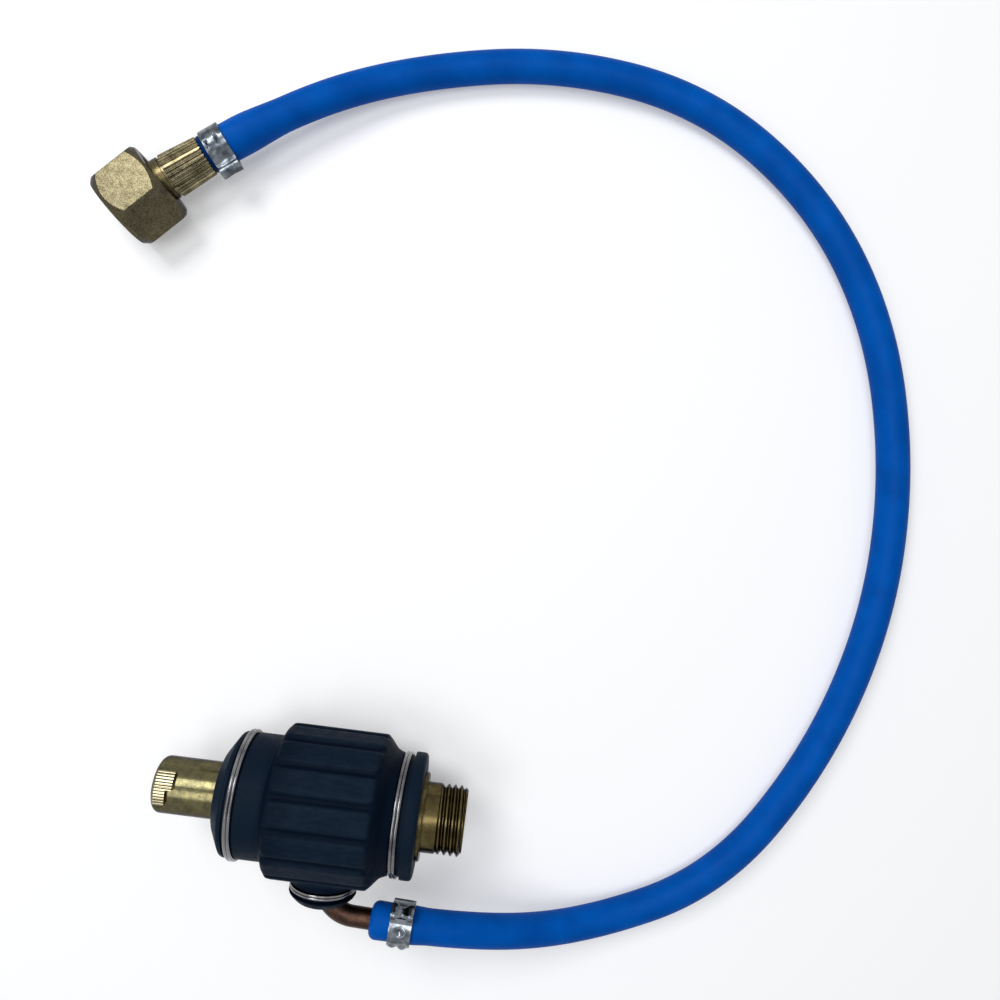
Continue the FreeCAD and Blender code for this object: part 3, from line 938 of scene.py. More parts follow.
# two copies of one clamp steel; the second, used for the nipple clamp, differs only in being darker
CLAMP_STEEL, CLAMP_DARKER = (
    Steel(name, bright, dull, FITTING_WAY, stretch=(0.5, 3.0, 3.0), depth=0.004, roughness=(0.14, 0.3))
    for name, bright, dull in (
        ("clamp_steel", (0.22, 0.24, 0.265, 1), (0.07, 0.082, 0.10, 1)),
        ("clamp_steel_darker", (0.165, 0.185, 0.205, 1), (0.048, 0.057, 0.070, 1)),
    )
)


# Sub-assemblies


@dataclass
class Boot:
    """The insulating boot, one moulding with rounded lands, and its bores cut clean.

    The rooms are what is cut out of it, and a groove is given as its start, its end and its floor's radius.
    """

    outline: Outline = (
        (-47.44, 0),
        (-47.44, 9.6),
        (-44.64, 14.2),
        (-35.24, 14.2),
        (-34.14, 16.8),
        (-10.44, 16.8),
        (-8.44, 14.45),
        (-6.64, 13.7),
        (-4.7, 13.75),
        (-4.0, 14.3),
        (-1.5, 14.3),
        (-1.0, 13.8),
        (-1.0, 0),
    )
    branch: Outline = ((0, 0), (0, 7.75), (18.4, 7.75), (19.8, 7.9), (20.2, 7.9), (22.0, 6.1), (22.0, 0))
    core_room: Outline = (
        (-48.5, 0),
        (-48.5, 6.55),
        (-44.49, 6.55),
        (-44.49, 9.05),
        (-4.05, 9.05),
        (-4.05, 10.05),
        (0, 10.05),
        (0, 0),
    )
    branch_room: Outline = ((0, 0), (0, 5.85), (17.45, 5.85), (17.45, 4.9), (23, 4.9), (23, 0))
    pin_groove: Triple = (-43.72, -41.16, 13.75)
    torch_groove: Triple = (-6.75, -3.8, 13.2)
    branch_groove: Triple = (17.5, 19.96, 6.95)
    groove_roof: float = 16.0
    branch_groove_roof: float = 9.0
    land_count: int = 15
    land_first: float = -81.0
    land_start: float = -33.84
    land_length: float = 23.1
    land_width: float = 5.7
    land_top: float = 17.4
    land_depth: float = 1.6
    land_corner: float = 1.1
    land_edge: float = 0.6
    grain: float = 0.32
    soft_share: float = 0.5
    soft_rounds: int = 7

    def ring_room(self, groove: Triple, roof: float, steps: int) -> Piece:
        """Make the room that a wire ring lies in, about X.

        Args:
            groove: Its start, its end and its floor's radius.
            roof: Its outer radius.
            steps: Faces around.

        Returns:
            The room.
        """
        start, end, floor = groove
        outline = [(start, floor), (start, roof), (end, roof), (end, floor), (start, floor)]
        return turned("ring_room", outline, steps)

    def land(self) -> Piece:
        """Make one land on top of the barrel: a bar with rounded corners and edges.

        Returns:
            The bar.
        """
        deselect()
        middle = self.land_start + self.land_length / 2
        bpy.ops.mesh.primitive_cube_add(
            size=1,
            location=(middle * MM, 0, (self.land_top - self.land_depth / 2) * MM),
            scale=(self.land_length * MM, self.land_width * MM, self.land_depth * MM),
        )
        bar = bpy.context.object
        bar.name = "land"
        bpy.ops.object.transform_apply(location=True, rotation=True, scale=True)
        points = bar.data.vertices
        upright = []
        for edge in bar.data.edges:
            way = points[edge.vertices[0]].co - points[edge.vertices[1]].co
            if abs(way.normalized().z) > UPRIGHT:
                upright.append(edge.index)
        with editing(bar, Element.EDGE, upright):
            bpy.ops.mesh.bevel(offset=self.land_corner * MM, segments=4, profile=0.5)
        return soften(bar, self.land_edge, segments=3, angle=60)

    def build(self) -> Piece:
        """Build the boot in its place.

        Returns:
            The boot.
        """
        branch = on_branch(turned("boot_branch", self.branch, MEDIUM))
        parts = [turned("boot_body", self.outline, FINEST), branch]
        bar = self.land()
        for step in range(self.land_count):
            copy = bar.copy()
            copy.data = bar.data.copy()
            bpy.context.scene.collection.objects.link(copy)
            angle = self.land_first + step * 360 / self.land_count
            copy.data.transform(Matrix.Rotation(math.radians(angle), 4, "X"))
            parts.append(copy)
        bpy.data.objects.remove(bar)
        boot = joined("boot", parts)
        modify(boot, "REMESH", mode="VOXEL", voxel_size=self.grain * MM, use_smooth_shade=True)
        modify(boot, "SMOOTH", factor=self.soft_share, iterations=self.soft_rounds)
        rooms = [turned("core_room", self.core_room, MEDIUM)]
        for groove in (self.pin_groove, self.torch_groove):
            rooms.append(self.ring_room(groove, self.groove_roof, FINEST))
        combine(boot, joined("rooms", rooms), Operation.CUT)
        rooms = [turned("branch_room", self.branch_room, COARSE)]
        rooms.append(self.ring_room(self.branch_groove, self.branch_groove_roof, MEDIUM))
        combine(boot, on_branch(joined("branch_rooms", rooms)), Operation.CUT)
        smooth(boot, 50)
        return mounted(boot, Matrix(), BOOT_RUBBER.material(), CONNECTOR, "rubber_boot")


@dataclass
class WireRing:
    """A ring of two turns of spring wire, lying a little askew in its groove."""

    name: str
    node: str
    radius: float
    point: Vector
    way: Vector
    tilt: float
    wire: float = 0.9
    pitch: float = 0.78
    turns: float = 2.0625
    sides: int = 14
    steps: int = 144

    def build(self, material: bpy.types.Material) -> Piece:
        """Build the ring in its place.

        Args:
            material: Its finish.

        Returns:
            The ring.
        """
        deselect()
        bpy.ops.mesh.primitive_circle_add(
            vertices=self.sides,
            radius=self.wire / 2 * MM,
            location=(-self.pitch * self.turns / 2 * MM, self.radius * MM, 0),
        )
        section = bpy.context.object
        bpy.ops.object.transform_apply(location=True, rotation=True, scale=True)
        ring = wound(self.name, section, self.turns, self.pitch, self.steps)
        ring.data.transform(Matrix.Rotation(math.radians(self.tilt), 4, "Z"))
        smooth(ring, 50)
        place = stance(self.point, self.way, RING_ENDS)
        return mounted(ring, place, material, CONNECTOR, self.node)


def hose_route() -> list[Vector]:
    """Lay the hose's line: a smooth curve through the places that the hose passes near.

    Returns:
        The line's points, in metres and at even steps of the curve.
    """
    places = [HOSE_START, HOSE_START + ELBOW_WAY * END_RUN]
    places += [Vector((x, y, HOSE_Z)) for x, y in ROUTE]
    places += [HOSE_END + FITTING_WAY * END_RUN, HOSE_END]
    curve = bpy.data.curves.new("hose_route", "CURVE")
    curve.dimensions = "3D"
    spline = curve.splines.new("NURBS")
    spline.points.add(len(places) - 1)
    for point, place in zip(spline.points, places):
        point.co = (*(value * MM for value in place), 1)
    spline.order_u = 3
    spline.use_endpoint_u = True
    spline.resolution_u = 32
    carrier = bpy.data.objects.new("hose_route", curve)
    bpy.context.scene.collection.objects.link(carrier)
    bpy.context.view_layer.update()
    mesh = bpy.data.meshes.new_from_object(carrier)
    line = [vertex.co.copy() for vertex in mesh.vertices]
    bpy.data.objects.remove(carrier)
    bpy.data.meshes.remove(mesh)
    return line


def spaced(line: Sequence[Vector], stations: Sequence[float]) -> list[Vector]:
    """Find the points of a line at stations along it.

    Args:
        line: The line's points.
        stations: Rising distances from its start, in metres.

    Returns:
        One point for each station.
    """
    found = []
    walked = 0.0
    index = 0
    for station in stations:
        while index < len(line) - 2 and walked + (line[index + 1] - line[index]).length < station:
            walked += (line[index + 1] - line[index]).length
            index += 1
        step = line[index + 1] - line[index]
        found.append(line[index] + step * ((station - walked) / step.length))
    return found


def line_length(line: Sequence[Vector]) -> float:
    """Return a line's length."""
    return sum((after - before).length for before, after in zip(line, line[1:]))


def between(start: float, end: float, gap: float) -> list[float]:
    """Return even stations between a start and an end, about a gap apart."""
    count = round((end - start) / gap)
    return [start + (end - start) * step / count for step in range(1, count)]


@dataclass(frozen=True)
class HoseEnd:
    """One end of the hose: its cuff over a tail, the tail inside it, and how it thins to the hose."""

    cuff: float
    tail: float
    rounding: float
    taper: float


@dataclass
class GasHose:
    """The hose: one tube along its route, with its bore, swollen and rounded at its ends."""

    radius: float = 4.0
    bore: float = 2.5
    sides: int = 40
    start: HoseEnd = HoseEnd(4.25, 2.95, 1.7, 4.6)
    end: HoseEnd = HoseEnd(4.65, 3.35, 0.35, 13.0)
    cuff_length: float = 9.6
    pressed: float = 0.06
    tail_start: float = 1.45
    tail_end: float = 11.05
    tail_step: float = 0.3
    lip_step: float = 0.05
    mouth: Pair = (0.25, 0.2)
    end_steps: int = 6
    ring_gap: float = 1.2
    bore_ring_gap: float = 3.0

    def end_profile(self, end: HoseEnd) -> list[Pair]:
        """Lay out the rings of one end, from inside its bore out over its cuff.

        Args:
            end: The end's sizes.

        Returns:
            (station, radius) pairs, with stations from that end.
        """
        rings = [
            (self.tail_end + self.tail_step, self.bore),
            (self.tail_end, end.tail),
            (self.tail_start, end.tail),
            (self.tail_start - self.lip_step, self.bore),
            (self.mouth[0], self.bore),
            (0.0, self.bore + self.mouth[1]),
        ]
        for step in range(self.end_steps + 1):
            angle = math.pi / 2 * step / self.end_steps
            radius = end.cuff - end.rounding * (1 - math.sin(angle))
            rings.append((end.rounding * (1 - math.cos(angle)), radius))
        rings += [(self.cuff_length * 0.5, end.cuff - self.pressed), (self.cuff_length, end.cuff)]
        for step in range(1, self.end_steps + 1):
            share = step / self.end_steps
            eased = share * share * (3 - 2 * share)
            radius = end.cuff + (self.radius - end.cuff) * eased
            rings.append((self.cuff_length + end.taper * share, radius))
        return rings

    def rings(self, length: float) -> list[Pair]:
        """Lay out the closed run of rings, outside from end to end and back along the bore.

        Args:
            length: The hose's length in millimetres.

        Returns:
            (station, radius) pairs.
        """
        body_start = self.cuff_length + self.start.taper
        body_end = length - self.cuff_length - self.end.taper
        bore_start = self.tail_end + self.tail_step
        bore_end = length - self.tail_end - self.tail_step
        found = self.end_profile(self.start)
        found += [(station, self.radius) for station in between(body_start, body_end, self.ring_gap)]
        found += [(length - station, radius) for station, radius in reversed(self.end_profile(self.end))]
        back = between(bore_end, bore_start, -self.bore_ring_gap)
        return found + [(station, self.bore) for station in back]

    def points(self, line: Sequence[Vector], rings: Sequence[Pair]) -> list[Vector]:
        """Set the points of each ring square to the line.

        Args:
            line: The hose's line, in metres.
            rings: (station, radius) pairs in millimetres.

        Returns:
            The points, ring after ring.
        """
        length = line_length(line)
        order = sorted(range(len(rings)), key=lambda index: rings[index][0])
        stations = [rings[index][0] * MM for index in order]
        ahead = spaced(line, [min(station + WAY_REACH, length) for station in stations])
        behind = spaced(line, [max(station - WAY_REACH, 0) for station in stations])
        found: list[list[Vector]] = [[] for _ in rings]
        across = Vector((0, 0, 1))
        for index, centre, after, before in zip(order, spaced(line, stations), ahead, behind):
            way = (after - before).normalized()
            across = (across - way * across.dot(way)).normalized()
            aside = way.cross(across)
            radius = rings[index][1] * MM
            for side in range(self.sides):
                angle = math.tau * side / self.sides
                found[index].append(centre + (across * math.cos(angle) + aside * math.sin(angle)) * radius)
        return [point for ring in found for point in ring]

    def build(self) -> tuple[Piece, list[Vector]]:
        """Build the hose in its place, with a map that runs round and along it.

        Returns:
            The hose, and the line that it follows, in metres.
        """
        line = hose_route()
        length = line_length(line) / MM
        rings = self.rings(length)
        faces = []
        spots = []
        for ring in range(len(rings)):
            after = (ring + 1) % len(rings)
            for side in range(self.sides):
                corners = [(ring, side), (after, side), (after, side + 1), (ring, side + 1)]
                faces.append([at * self.sides + spot % self.sides for at, spot in corners])
                spots += [(spot / self.sides, rings[at][0]) for at, spot in corners]
        mesh = bpy.data.meshes.new("hose")
        mesh.from_pydata(self.points(line, rings), [], faces)
        layer = mesh.uv_layers.new(name="Length")
        layer.data.foreach_set("uv", [value for spot in spots for value in spot])
        hose = bpy.data.objects.new("hose", mesh)
        bpy.context.scene.collection.objects.link(hose)
        with editing(hose):
            face_out()
        smooth(hose, 50)
        mounted(hose, Matrix(), HOSE_BLUE.material(length), CONNECTOR, "gas_hose")
        return hose, line


@dataclass(frozen=True)
class Dent:
    """A dent in a clamp's strip: where it is and how far it reaches; a depth below zero is a bulge."""

    angle: float
    station: float
    half_length: float
    half_width: float
    depth: float

    def share(self, around: float, along: float, reach: float) -> float:
        """Find how much of the dent's depth a place takes.

        Args:
            around: The place's angle about the clamp, in degrees.
            along: Its station across the strip.
            reach: Its distance from the clamp's axis.

        Returns:
            The share, from 0 outside the dent to 1 at its middle.
        """
        turn = math.radians((around - self.angle + 180) % 360 - 180)
        length_share = turn * reach / MM / self.half_length
        width_share = (along / MM - self.station) / self.half_width
        away = length_share * length_share + width_share * width_share
        return (1 - away) ** 1.5 if away < 1 else 0.0


@dataclass
class EarClamp:
    """An ear clamp: one strip round the hose with a pinched ear, its outer end lapped over its inner one.

    The strip is drawn across the hose in angles, with its ear at 90 degrees and its lap at `lap_at`.
    """

    name: str
    node: str
    inner: float
    point: Vector
    way: Vector
    roll: float
    lap_at: float
    dents: tuple[Dent, ...]
    dip: float
    waist: float
    width: float = 5.3
    sheet: float = 0.55
    edge: float = 0.09
    columns: int = 10
    arc_step: float = 6.0
    lap_reach: float = 34.0
    lap_ramp: Triple = (-2.0, -3.0, -7.0)
    lap_end: Pair = (8.0, 5.0)
    lap_lift: float = 0.08
    ear_half: float = 22.0
    ear_run_out: Pair = (25.0, 26.0)
    ear: Outline = ((-1.35, 0.5), (-1.28, 1.0), (-1.5, 1.5), (-1.62, 1.9), (-1.2, 2.28), (-0.5, 2.22))
    ear_foot: float = 0.7
    pinch_share: float = 0.34

    def arc(self, first: float, last: float, reach: float) -> list[Pair]:
        """Step down along an arc about the clamp's axis.

        Args:
            first: The angle of its first point.
            last: The angle that it stops short of.
            reach: Its radius.

        Returns:
            Its points.
        """
        count = math.ceil((first - last) / self.arc_step)
        angles = [math.radians(first - step * self.arc_step) for step in range(count)]
        return [(reach * math.cos(angle), reach * math.sin(angle)) for angle in angles]

    def strip(self) -> list[Pair]:
        """Draw the strip's middle line across the hose, with the ear towards +Y of the drawing.

        Returns:
            Its points, from the outer end to the inner one.
        """
        radius = self.inner + self.sheet / 2
        lap = radius + self.sheet
        leave, ramp, land = self.lap_ramp
        line = self.arc(self.lap_at + self.lap_reach, self.lap_at + leave, lap)
        line += self.arc(self.lap_at + ramp, self.lap_at + ramp - 1, (radius + lap) / 2 + self.lap_lift)
        line += self.arc(self.lap_at + land, 90 + self.ear_run_out[0] - 360, radius)
        line += self.arc(90 + self.ear_half - 360, 89 + self.ear_half - 360, radius)
        line += [(x, radius + y) for x, y in self.ear]
        line += [(-x, radius + y) for x, y in reversed(self.ear)]
        line += self.arc(90 - self.ear_half, 89 - self.ear_half, radius)
        line += self.arc(90 - self.ear_run_out[1], self.lap_at + self.lap_end[0], radius)
        return line + self.arc(self.lap_at + self.lap_end[1], self.lap_at + self.lap_end[1] - 1, radius)

    def pinch_ear(self, clamp: Piece) -> None:
        """Draw the ear in at its middle and dip its crest.

        Args:
            clamp: The strip's mesh.
        """
        low = (self.inner + self.sheet + self.ear_foot) * MM
        reach = self.pinch_share * self.width
        for point in clamp.data.vertices:
            aside = abs(point.co.z / MM - self.width / 2) / reach
            if point.co.y > low and aside < 1:
                near = (1 - aside * aside) ** 2
                point.co.x *= 1 - (1 - self.waist) * near
                point.co.y -= self.dip * near * MM

    def press(self, clamp: Piece) -> None:
        """Press the dents into the strip.

        Args:
            clamp: The strip's mesh.
        """
        for point in clamp.data.vertices:
            around = math.degrees(math.atan2(point.co.y, point.co.x))
            reach = math.hypot(point.co.x, point.co.y)
            for dent in self.dents:
                left = 1 - dent.depth * MM / reach * dent.share(around, point.co.z, reach)
                point.co.x *= left
                point.co.y *= left

    def build(self, material: bpy.types.Material) -> Piece:
        """Build the clamp in its place.

        Args:
            material: Its finish.

        Returns:
            The clamp.
        """
        clamp = drawn(self.name, self.strip())
        column = {"value": (0, 0, self.width / self.columns * MM)}
        with editing(clamp):
            for _ in range(self.columns):
                bpy.ops.mesh.extrude_region_move(TRANSFORM_OT_translate=column)
        modify(clamp, "SUBSURF", levels=1, render_levels=1)
        self.pinch_ear(clamp)
        self.press(clamp)
        modify(clamp, "SOLIDIFY", thickness=self.sheet * MM, offset=0.0)
        soften(clamp, self.edge, angle=60)
        smooth(clamp, 40)
        axis_to_x = Matrix(((0, 0, 1, 0), (1, 0, 0, 0), (0, 1, 0, 0), (0, 0, 0, 1)))
        place = stance(self.point, self.way, self.roll) @ axis_to_x
        return mounted(clamp, place, material, CONNECTOR, self.node)


@dataclass
class KnurledSleeve:
    """The tapered sleeve with its straight knurl, each ridge raised from its own strip of the round."""

    length: float = 10.6
    wide: float = 5.4
    narrow: float = 4.85
    ridges: int = 30
    depth: float = 0.42
    ridge_slope: float = 0.19
    bore: float = 4.05
    bore_reach: Pair = (-1.0, 12.0)
    step: float = 0.5
    step_radius: float = 4.75
    step_sunk: float = 0.3
    edge: float = 0.05

    def build(self) -> Piece:
        """Build the sleeve in its place.

        Returns:
            The sleeve.
        """
        faces = 2 * self.ridges
        sleeve = prism("knurled_grip", faces, self.wide - self.depth, self.step, self.length)
        sides = [face.index for face in sleeve.data.polygons if abs(face.normal.x) < ENDWISE]
        with editing(sleeve, Element.FACE, sides[::2]):
            bpy.ops.mesh.inset(thickness=self.ridge_slope * MM, depth=self.depth * MM, use_individual=True)
        taper = 1 - self.narrow / self.wide
        for point in sleeve.data.vertices:
            share = 1 - taper * point.co.x / (self.length * MM)
            point.co.y *= share
            point.co.z *= share
        collar_end = self.step + self.step_sunk
        collar = [(0, 0), (0, self.step_radius), (collar_end, self.step_radius), (collar_end, 0)]
        combine(sleeve, turned("sleeve_step", collar, faces), Operation.ADD)
        start, end = self.bore_reach
        room = [(start, 0), (start, self.bore), (end, self.bore), (end, 0)]
        combine(sleeve, turned("sleeve_room", room, COARSE), Operation.CUT)
        soften(sleeve, self.edge, segments=1, angle=25)
        smooth(sleeve, 20)
        place = stance(SLEEVE_FRONT, FITTING_WAY)
        return mounted(sleeve, place, SLEEVE_BRASS.material(), CONNECTOR, "knurled_sleeve")


@dataclass(frozen=True)
class Thread:
    """A thread's ridge, wound about X from its root radius to its crest, with its foot sunk in the wall."""

    root: float
    crest: float
    start: float
    turns: float
    pitch: float
    root_share: float = 0.92
    crest_share: float = 0.1
    sunk: float = 0.25

    def build(self, name: str) -> Piece:
        """Wind the ridge.

        Args:
            name: The new object's name.

        Returns:
            The ridge, a closed bar.
        """
        foot = self.root + (self.sunk if self.crest < self.root else -self.sunk)
        half_root = self.pitch / 2 * self.root_share
        half_crest = self.pitch * self.crest_share
        corners = [
            (self.start - half_root, foot),
            (self.start - half_root, self.root),
            (self.start - half_crest, self.crest),
            (self.start + half_crest, self.crest),
            (self.start + half_root, self.root),
            (self.start + half_root, foot),
        ]
        return wound(name, closed_section(name, corners), self.turns, self.pitch, MEDIUM)


@dataclass
class ContactPin:
    """The contact pin with its rounded tip and the ridged bayonet lug, whose back edge has a step."""

    tip: float = -62.84
    round: float = 1.7
    round_steps: int = 5
    radius: float = 6.5
    shoulder: float = -44.49
    spigot: float = 5.0
    spigot_end: float = -33.44
    lug_front: float = -61.9
    lug_back: float = -57.5
    lug_step: float = 1.4
    lug_step_reach: float = 0.1
    lug_edge: float = 0.5
    lug_start: float = 47.0
    lug_half: float = 80.0
    lug_sweep: float = 62.0
    lug_inner: float = 5.9
    lug_outer: float = 7.6
    ridges: int = 12
    ridge_steps: int = 8
    ridge_depth: float = 0.3
    ridge_foot: float = 0.2
    valley_power: int = 6

    def lug(self) -> Piece:
        """Make the lug: a sector of a ring, with ridges along the pin.

        Returns:
            The lug.
        """
        corners = [
            (self.lug_front, self.lug_inner),
            (self.lug_front, self.lug_outer - self.lug_edge),
            (self.lug_front + self.lug_edge, self.lug_outer),
            (self.lug_back, self.lug_outer),
            (self.lug_back, self.lug_inner),
        ]
        section = closed_section("lug_section", corners)
        steps = round(self.ridge_steps * self.ridges * 360 / self.lug_sweep)
        lug = wound("lug", section, self.lug_sweep / 360, 0.0, steps)
        lug.data.transform(Matrix.Rotation(math.radians(self.lug_start), 4, "X"))
        at_back = (self.lug_back - self.lug_step_reach) * MM
        for point in lug.data.vertices:
            angle = math.degrees(math.atan2(point.co.z, point.co.y))
            reach = math.hypot(point.co.y, point.co.z)
            if angle > self.lug_half and point.co.x > at_back:
                point.co.x -= self.lug_step * MM
            if reach > (self.lug_inner + self.ridge_foot) * MM:
                phase = (angle - self.lug_start) / self.lug_sweep * self.ridges
                lowered = self.ridge_depth * MM * abs(2 * (phase % 1) - 1) ** self.valley_power
                point.co.y *= 1 - lowered / reach
                point.co.z *= 1 - lowered / reach
        return lug

    def build(self) -> Piece:
        """Build the pin in its place.

        Returns:
            The pin.
        """
        outline = [(self.tip, 0)]
        for step in range(self.round_steps + 1):
            angle = math.pi / 2 * step / self.round_steps
            station = self.tip + self.round * (1 - math.cos(angle))
            outline.append((station, self.radius - self.round * (1 - math.sin(angle))))
        outline += [(self.shoulder, self.radius), (self.shoulder, self.spigot)]
        outline += [(self.spigot_end, self.spigot), (self.spigot_end, 0)]
        pin = turned("bayonet_pin", outline)
        combine(pin, self.lug(), Operation.ADD)
        smooth(pin, 30)
        return mounted(pin, Matrix(), PIN_BRASS.material(), CONNECTOR, "contact_pin")


@dataclass
class CoreBody:
    """The core body with its flange and a stud whose thread winds round it."""

    start: float = -44.44
    radius: float = 9.0
    socket: float = 5.05
    socket_end: float = -33.39
    boss_room: Outline = ((0, 0), (0, 1.8), (5.6, 1.8), (5.6, 5.05), (10, 5.05), (10, 0))
    flange: float = 10.0
    flange_start: float = -4.0
    flange_edge: float = 0.3
    stud: float = 7.9
    stud_root: float = 7.09
    stud_end: float = 9.5
    stud_plain: float = 3.5
    stud_shoulder: Pair = (0.35, 0.45)
    stud_chamfer: float = 0.9
    chamfer_ease: float = 0.04
    bore_edge: float = 0.25
    gas_bore: float = 4.0
    gas_end: float = -26.44
    pitch: float = 1.5
    thread_lead: float = 0.1
    spare_turns: float = 0.6
    envelope_start: float = 0.5
    clear: float = 1.0
    skin: float = 0.02

    def build(self) -> Piece:
        """Build the core body in its place.

        Returns:
            The core body.
        """
        before, after = self.stud_shoulder
        outline = [
            (self.socket_end, 0),
            (self.socket_end, self.socket),
            (self.start, self.socket),
            (self.start, self.radius),
            (self.flange_start, self.radius),
            (self.flange_start, self.flange - self.flange_edge),
            (self.flange_start + self.flange_edge, self.flange),
            (-self.flange_edge, self.flange),
            (0, self.flange - self.flange_edge),
            (0, self.stud),
            (self.stud_plain - before, self.stud),
            (self.stud_plain + after, self.stud_root),
            (self.stud_end, self.stud_root),
            (self.stud_end, self.gas_bore + self.bore_edge),
            (self.stud_end - self.bore_edge, self.gas_bore),
            (self.gas_end, self.gas_bore),
            (self.gas_end, 0),
        ]
        core = turned("core_and_stud", outline)
        turns = (self.stud_end - self.stud_plain) / self.pitch + self.spare_turns
        thread_start = self.stud_plain - self.thread_lead
        ridge = Thread(self.stud_root, self.stud, thread_start, turns, self.pitch).build("stud_thread")
        chamfer_start = self.stud_end - self.stud_chamfer
        end = self.stud_end - self.skin
        envelope = [
            (self.envelope_start, 0),
            (self.envelope_start, self.stud + self.clear),
            (chamfer_start - self.clear, self.stud + self.clear),
            (chamfer_start, self.stud + self.skin),
            (end, self.stud - self.stud_chamfer + self.chamfer_ease),
            (end, 0),
        ]
        combine(ridge, turned("stud_envelope", envelope), Operation.KEEP)
        combine(core, ridge, Operation.ADD)
        combine(core, on_branch(turned("boss_room", self.boss_room, COARSE)), Operation.CUT)
        smooth(core, 30)
        return mounted(core, Matrix(), CORE_BRASS.material(), CONNECTOR, "core_body")


@dataclass
class SwivelNut:
    """The hexagon nut with rounded edges, arc-edged chamfers and a thread that winds inside it."""

    across_flats: float = 19.0
    length: float = 13.5
    hexagon_edge: float = 0.22
    edge: float = 0.12
    mouth: float = 8.7
    mouth_chamfer: float = 2.9
    back: float = 8.8
    back_chamfer: float = 2.1
    thread: float = 7.2
    thread_root: float = 8.0
    thread_mouth: float = 0.9
    thread_lead: float = 0.3
    thread_end: float = 5.6
    short_turns: float = 0.4
    relief: float = 8.1
    back_wall: float = 2.5
    back_bore: float = 6.1
    back_flare: Triple = (0.3, 1.0, 1.3)
    pitch: float = 1.5

    def build(self) -> Piece:
        """Build the nut in its place.

        Returns:
            The nut.
        """
        half = self.length / 2
        corner = self.across_flats / math.sqrt(3)
        nut = prism("union_nut", 6, corner, -half, half)
        soften(nut, self.hexagon_edge, angle=50)
        envelope = [
            (-half, 0),
            (-half, self.mouth),
            (-half + self.mouth_chamfer, corner),
            (half - self.back_chamfer, corner),
            (half, self.back),
            (half, 0),
        ]
        combine(nut, turned("nut_envelope", envelope, FINEST), Operation.KEEP)
        shoulder = half - self.back_wall
        flare, past, rise = self.back_flare
        cavity = [
            (-half - past, 0),
            (-half - past, self.thread + self.thread_mouth + past),
            (-half + self.thread_mouth, self.thread),
            (-half + self.thread_end, self.thread),
            (-half + self.thread_end, self.relief),
            (shoulder, self.relief),
            (shoulder, self.back_bore),
            (half - flare, self.back_bore),
            (half + past, self.back_bore + rise),
            (half + past, 0),
        ]
        combine(nut, turned("nut_cavity", cavity), Operation.CUT)
        turns = self.thread_end / self.pitch - self.short_turns
        groove = Thread(self.thread, self.thread_root, -half + self.thread_lead, turns, self.pitch)
        combine(nut, groove.build("nut_groove"), Operation.CUT)
        soften(nut, self.edge, angle=28)
        smooth(nut, 25)
        place = stance(NUT_MIDDLE, NUT_WAY)
        return mounted(nut, place, NUT_BRASS.material(), NUT_BODY, "swivel_nut")


@dataclass(frozen=True)
class Dressing:
    """A CAD node that stays as it is and takes a finish."""

    node: str
    finish: Brass | Copper

    def dress(self, frame: dict) -> None:
        """Give the node its finish.
        """
        node = frame["nodes"][self.node]
        node.data.materials.clear()
        node.data.materials.append(self.finish.material())
        smooth(node, 30)
        log.info("%s: CAD node in %s", self.node, self.finish.name)


# Studio


@dataclass(frozen=True)
class Lamp:
    """A square soft light, placed in metres, that faces the object."""

    name: str
    place: Triple
    power: float
    size: float = 0.30
    aim: Triple = (0, 0.06, 0)

    def hang(self) -> None:
        """Hang the light."""
        light = bpy.data.lights.new(self.name, "AREA")
        light.size = self.size
        light.energy = self.power
        lamp = bpy.data.objects.new(self.name, light)
        bpy.context.scene.collection.objects.link(lamp)
        lamp.location = self.place
        lamp.rotation_euler = (Vector(self.aim) - lamp.location).to_track_quat("-Z", "Y").to_euler()


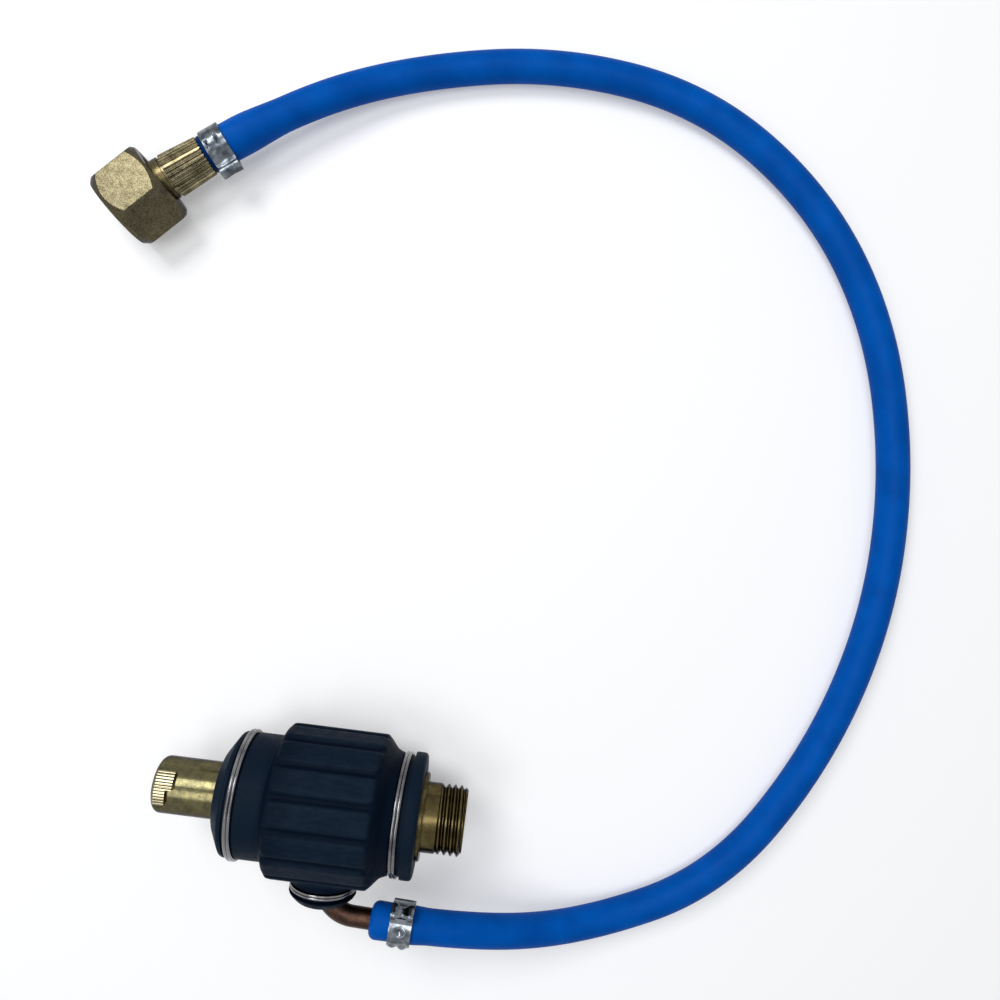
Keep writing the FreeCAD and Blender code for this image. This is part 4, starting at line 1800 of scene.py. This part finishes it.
@dataclass
class Studio:
    """The pale table, the soft lights and the camera that looks straight down."""

    eye: Triple = (8.23, 76.04, 200.0)
    turn: float = 7.2
    lens: float = 30.6
    sensor: float = 36.0
    near: float = 0.01
    table_size: float = 8.0
    table_middle: Pair = (0, 0.08)
    table_colour: Colour = (0.78, 0.78, 0.79, 1)
    table_roughness: float = 0.9
    glow_colour: Colour = (1, 1, 1, 1)
    glow: Span = Span(260.0, 900.0, 0.30, 0.82)
    seen_colour: Colour = (0.97, 0.97, 0.98, 1)
    seen_power: float = 1.0
    fill_colour: Colour = (0.9, 0.95, 1.0, 1)
    fill_power: float = 0.22
    lamps: tuple[Lamp, ...] = (
        Lamp("key_light", (-0.30, 0.40, 0.62), 2.6),
        Lamp("top_light", (0.06, 0.12, 0.75), 1.2),
        Lamp("low_light", (-0.26, -0.14, 0.66), 1.1),
    )

    def camera(self) -> None:
        """Set the camera where the photograph was taken from."""
        camera = bpy.data.objects.new("camera", bpy.data.cameras.new("camera"))
        bpy.context.scene.collection.objects.link(camera)
        camera.location = Vector(self.eye) * MM
        camera.rotation_euler = (0, 0, math.radians(self.turn))
        camera.data.lens = self.lens
        camera.data.sensor_width = self.sensor
        camera.data.clip_start = self.near
        bpy.context.scene.camera = camera

    def table(self) -> None:
        """Lay the table under the object, with a glow for the camera that grows away from it."""
        deselect()
        bpy.ops.mesh.primitive_plane_add(size=self.table_size, location=(*self.table_middle, TABLE_Z * MM))
        floor = bpy.context.object
        floor.name = "table"
        board = Board(bpy.data.materials.new("table_white"))
        path = board.node("LightPath")
        away = board.node("VectorMath", {0: board.place()}, operation="LENGTH").outputs["Value"]
        seen = board.math("MULTIPLY", path.outputs["Is Camera Ray"], board.steps(away, self.glow))
        mirrored = board.math("MULTIPLY", path.outputs["Is Glossy Ray"], self.glow.first)
        material = board.finish(
            Base_Color=self.table_colour,
            Roughness=self.table_roughness,
            Emission_Color=self.glow_colour,
            Emission_Strength=board.math("MAXIMUM", seen, mirrored),
        )
        floor.data.materials.append(material)

    def world(self) -> None:
        """Fill the world with a dim light, and with a bright one for what sees or mirrors it."""
        world = bpy.data.worlds.new("studio")
        bpy.context.scene.world = world
        board = Board(world)
        shown = board.tree.nodes["Background"]
        board.give(shown.inputs["Color"], self.seen_colour)
        board.give(shown.inputs["Strength"], self.seen_power)
        fill = board.node("Background", {"Color": self.fill_colour, "Strength": self.fill_power})
        path = board.node("LightPath").outputs
        seen = board.math("MAXIMUM", path["Is Camera Ray"], path["Is Glossy Ray"])
        seen = board.math("MAXIMUM", seen, path["Is Transmission Ray"])
        mix = board.node("MixShader", {0: seen, 1: fill.outputs[0], 2: shown.outputs[0]})
        board.give(board.tree.nodes["World Output"].inputs["Surface"], mix.outputs[0])

    def build(self) -> None:
        """Set up the whole studio but the camera."""
        self.table()
        self.world()
        for lamp in self.lamps:
            lamp.hang()
        bpy.context.scene.view_settings.view_transform = "Standard"


def main() -> None:
    """Build every piece in order around the frame."""
    logging.basicConfig(level=logging.INFO, format="%(message)s")
    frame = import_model()
    studio = Studio()
    studio.camera()

    hose, line = GasHose().build()
    elbow_clamp = EarClamp(
        name="elbow_clamp",
        node="elbow_ear_clamp",
        inner=4.3,
        point=HOSE_START + ELBOW_WAY * ELBOW_CLAMP_SETBACK,
        way=ELBOW_WAY,
        roll=-50.0,
        lap_at=-20.0,
        dents=(
            Dent(137.0, 2.55, 1.3, 1.25, 0.75),
            Dent(165.0, 4.2, 1.6, 0.9, 0.14),
            Dent(200.0, 1.2, 1.5, 1.1, -0.4),
            Dent(200.0, 3.6, 1.5, 1.1, -0.55),
        ),
        dip=0.75,
        waist=0.55,
    ).build(CLAMP_STEEL.material())
    nipple_clamp = EarClamp(
        name="nipple_clamp",
        node="nipple_ear_clamp",
        inner=4.7,
        point=HOSE_END + FITTING_WAY * NIPPLE_CLAMP_SETBACK,
        way=FITTING_WAY,
        roll=80.0,
        lap_at=-130.0,
        dents=(
            Dent(14.0, 0.9, 1.3, 0.4, 0.42),
            Dent(12.0, 3.5, 1.6, 0.4, 0.45),
            Dent(38.0, 1.2, 1.0, 0.9, 0.16),
            Dent(-16.0, 4.9, 2.2, 0.8, 0.25),
            Dent(60.0, 3.2, 1.8, 1.6, 0.12),
        ),
        dip=0.06,
        waist=0.92,
    ).build(CLAMP_DARKER.material())

    Boot().build()
    branch_ring = Vector((BRANCH_X, -18.5, 0))
    rings = (
        WireRing("pin_end_wire", "pin_end_ring", 14.4, ALONG_X * -42.44, ALONG_X, 0.7),
        WireRing("torch_end_wire", "torch_end_ring", 13.85, ALONG_X * -5.25, ALONG_X, -2.2),
        WireRing("branch_wire", "branch_ring", 7.5, branch_ring, BRANCH_WAY, 0.8, wire=0.74, pitch=0.66),
    )
    ring_steel = RING_STEEL.material()
    for ring in rings:
        ring.build(ring_steel)

    ContactPin().build()
    CoreBody().build()
    sleeve = KnurledSleeve().build()
    nut = SwivelNut().build()
    for dressing in (
        Dressing("side_boss", BOSS_BRASS),
        Dressing("gas_elbow", TUBE_COPPER),
        Dressing("hose_nipple", NIPPLE_BRASS),
    ):
        dressing.dress(frame)

    studio.build()
    log.info("hose length along its middle: %.1f mm", line_length(line) / MM)


if __name__ == "__main__":
    main()
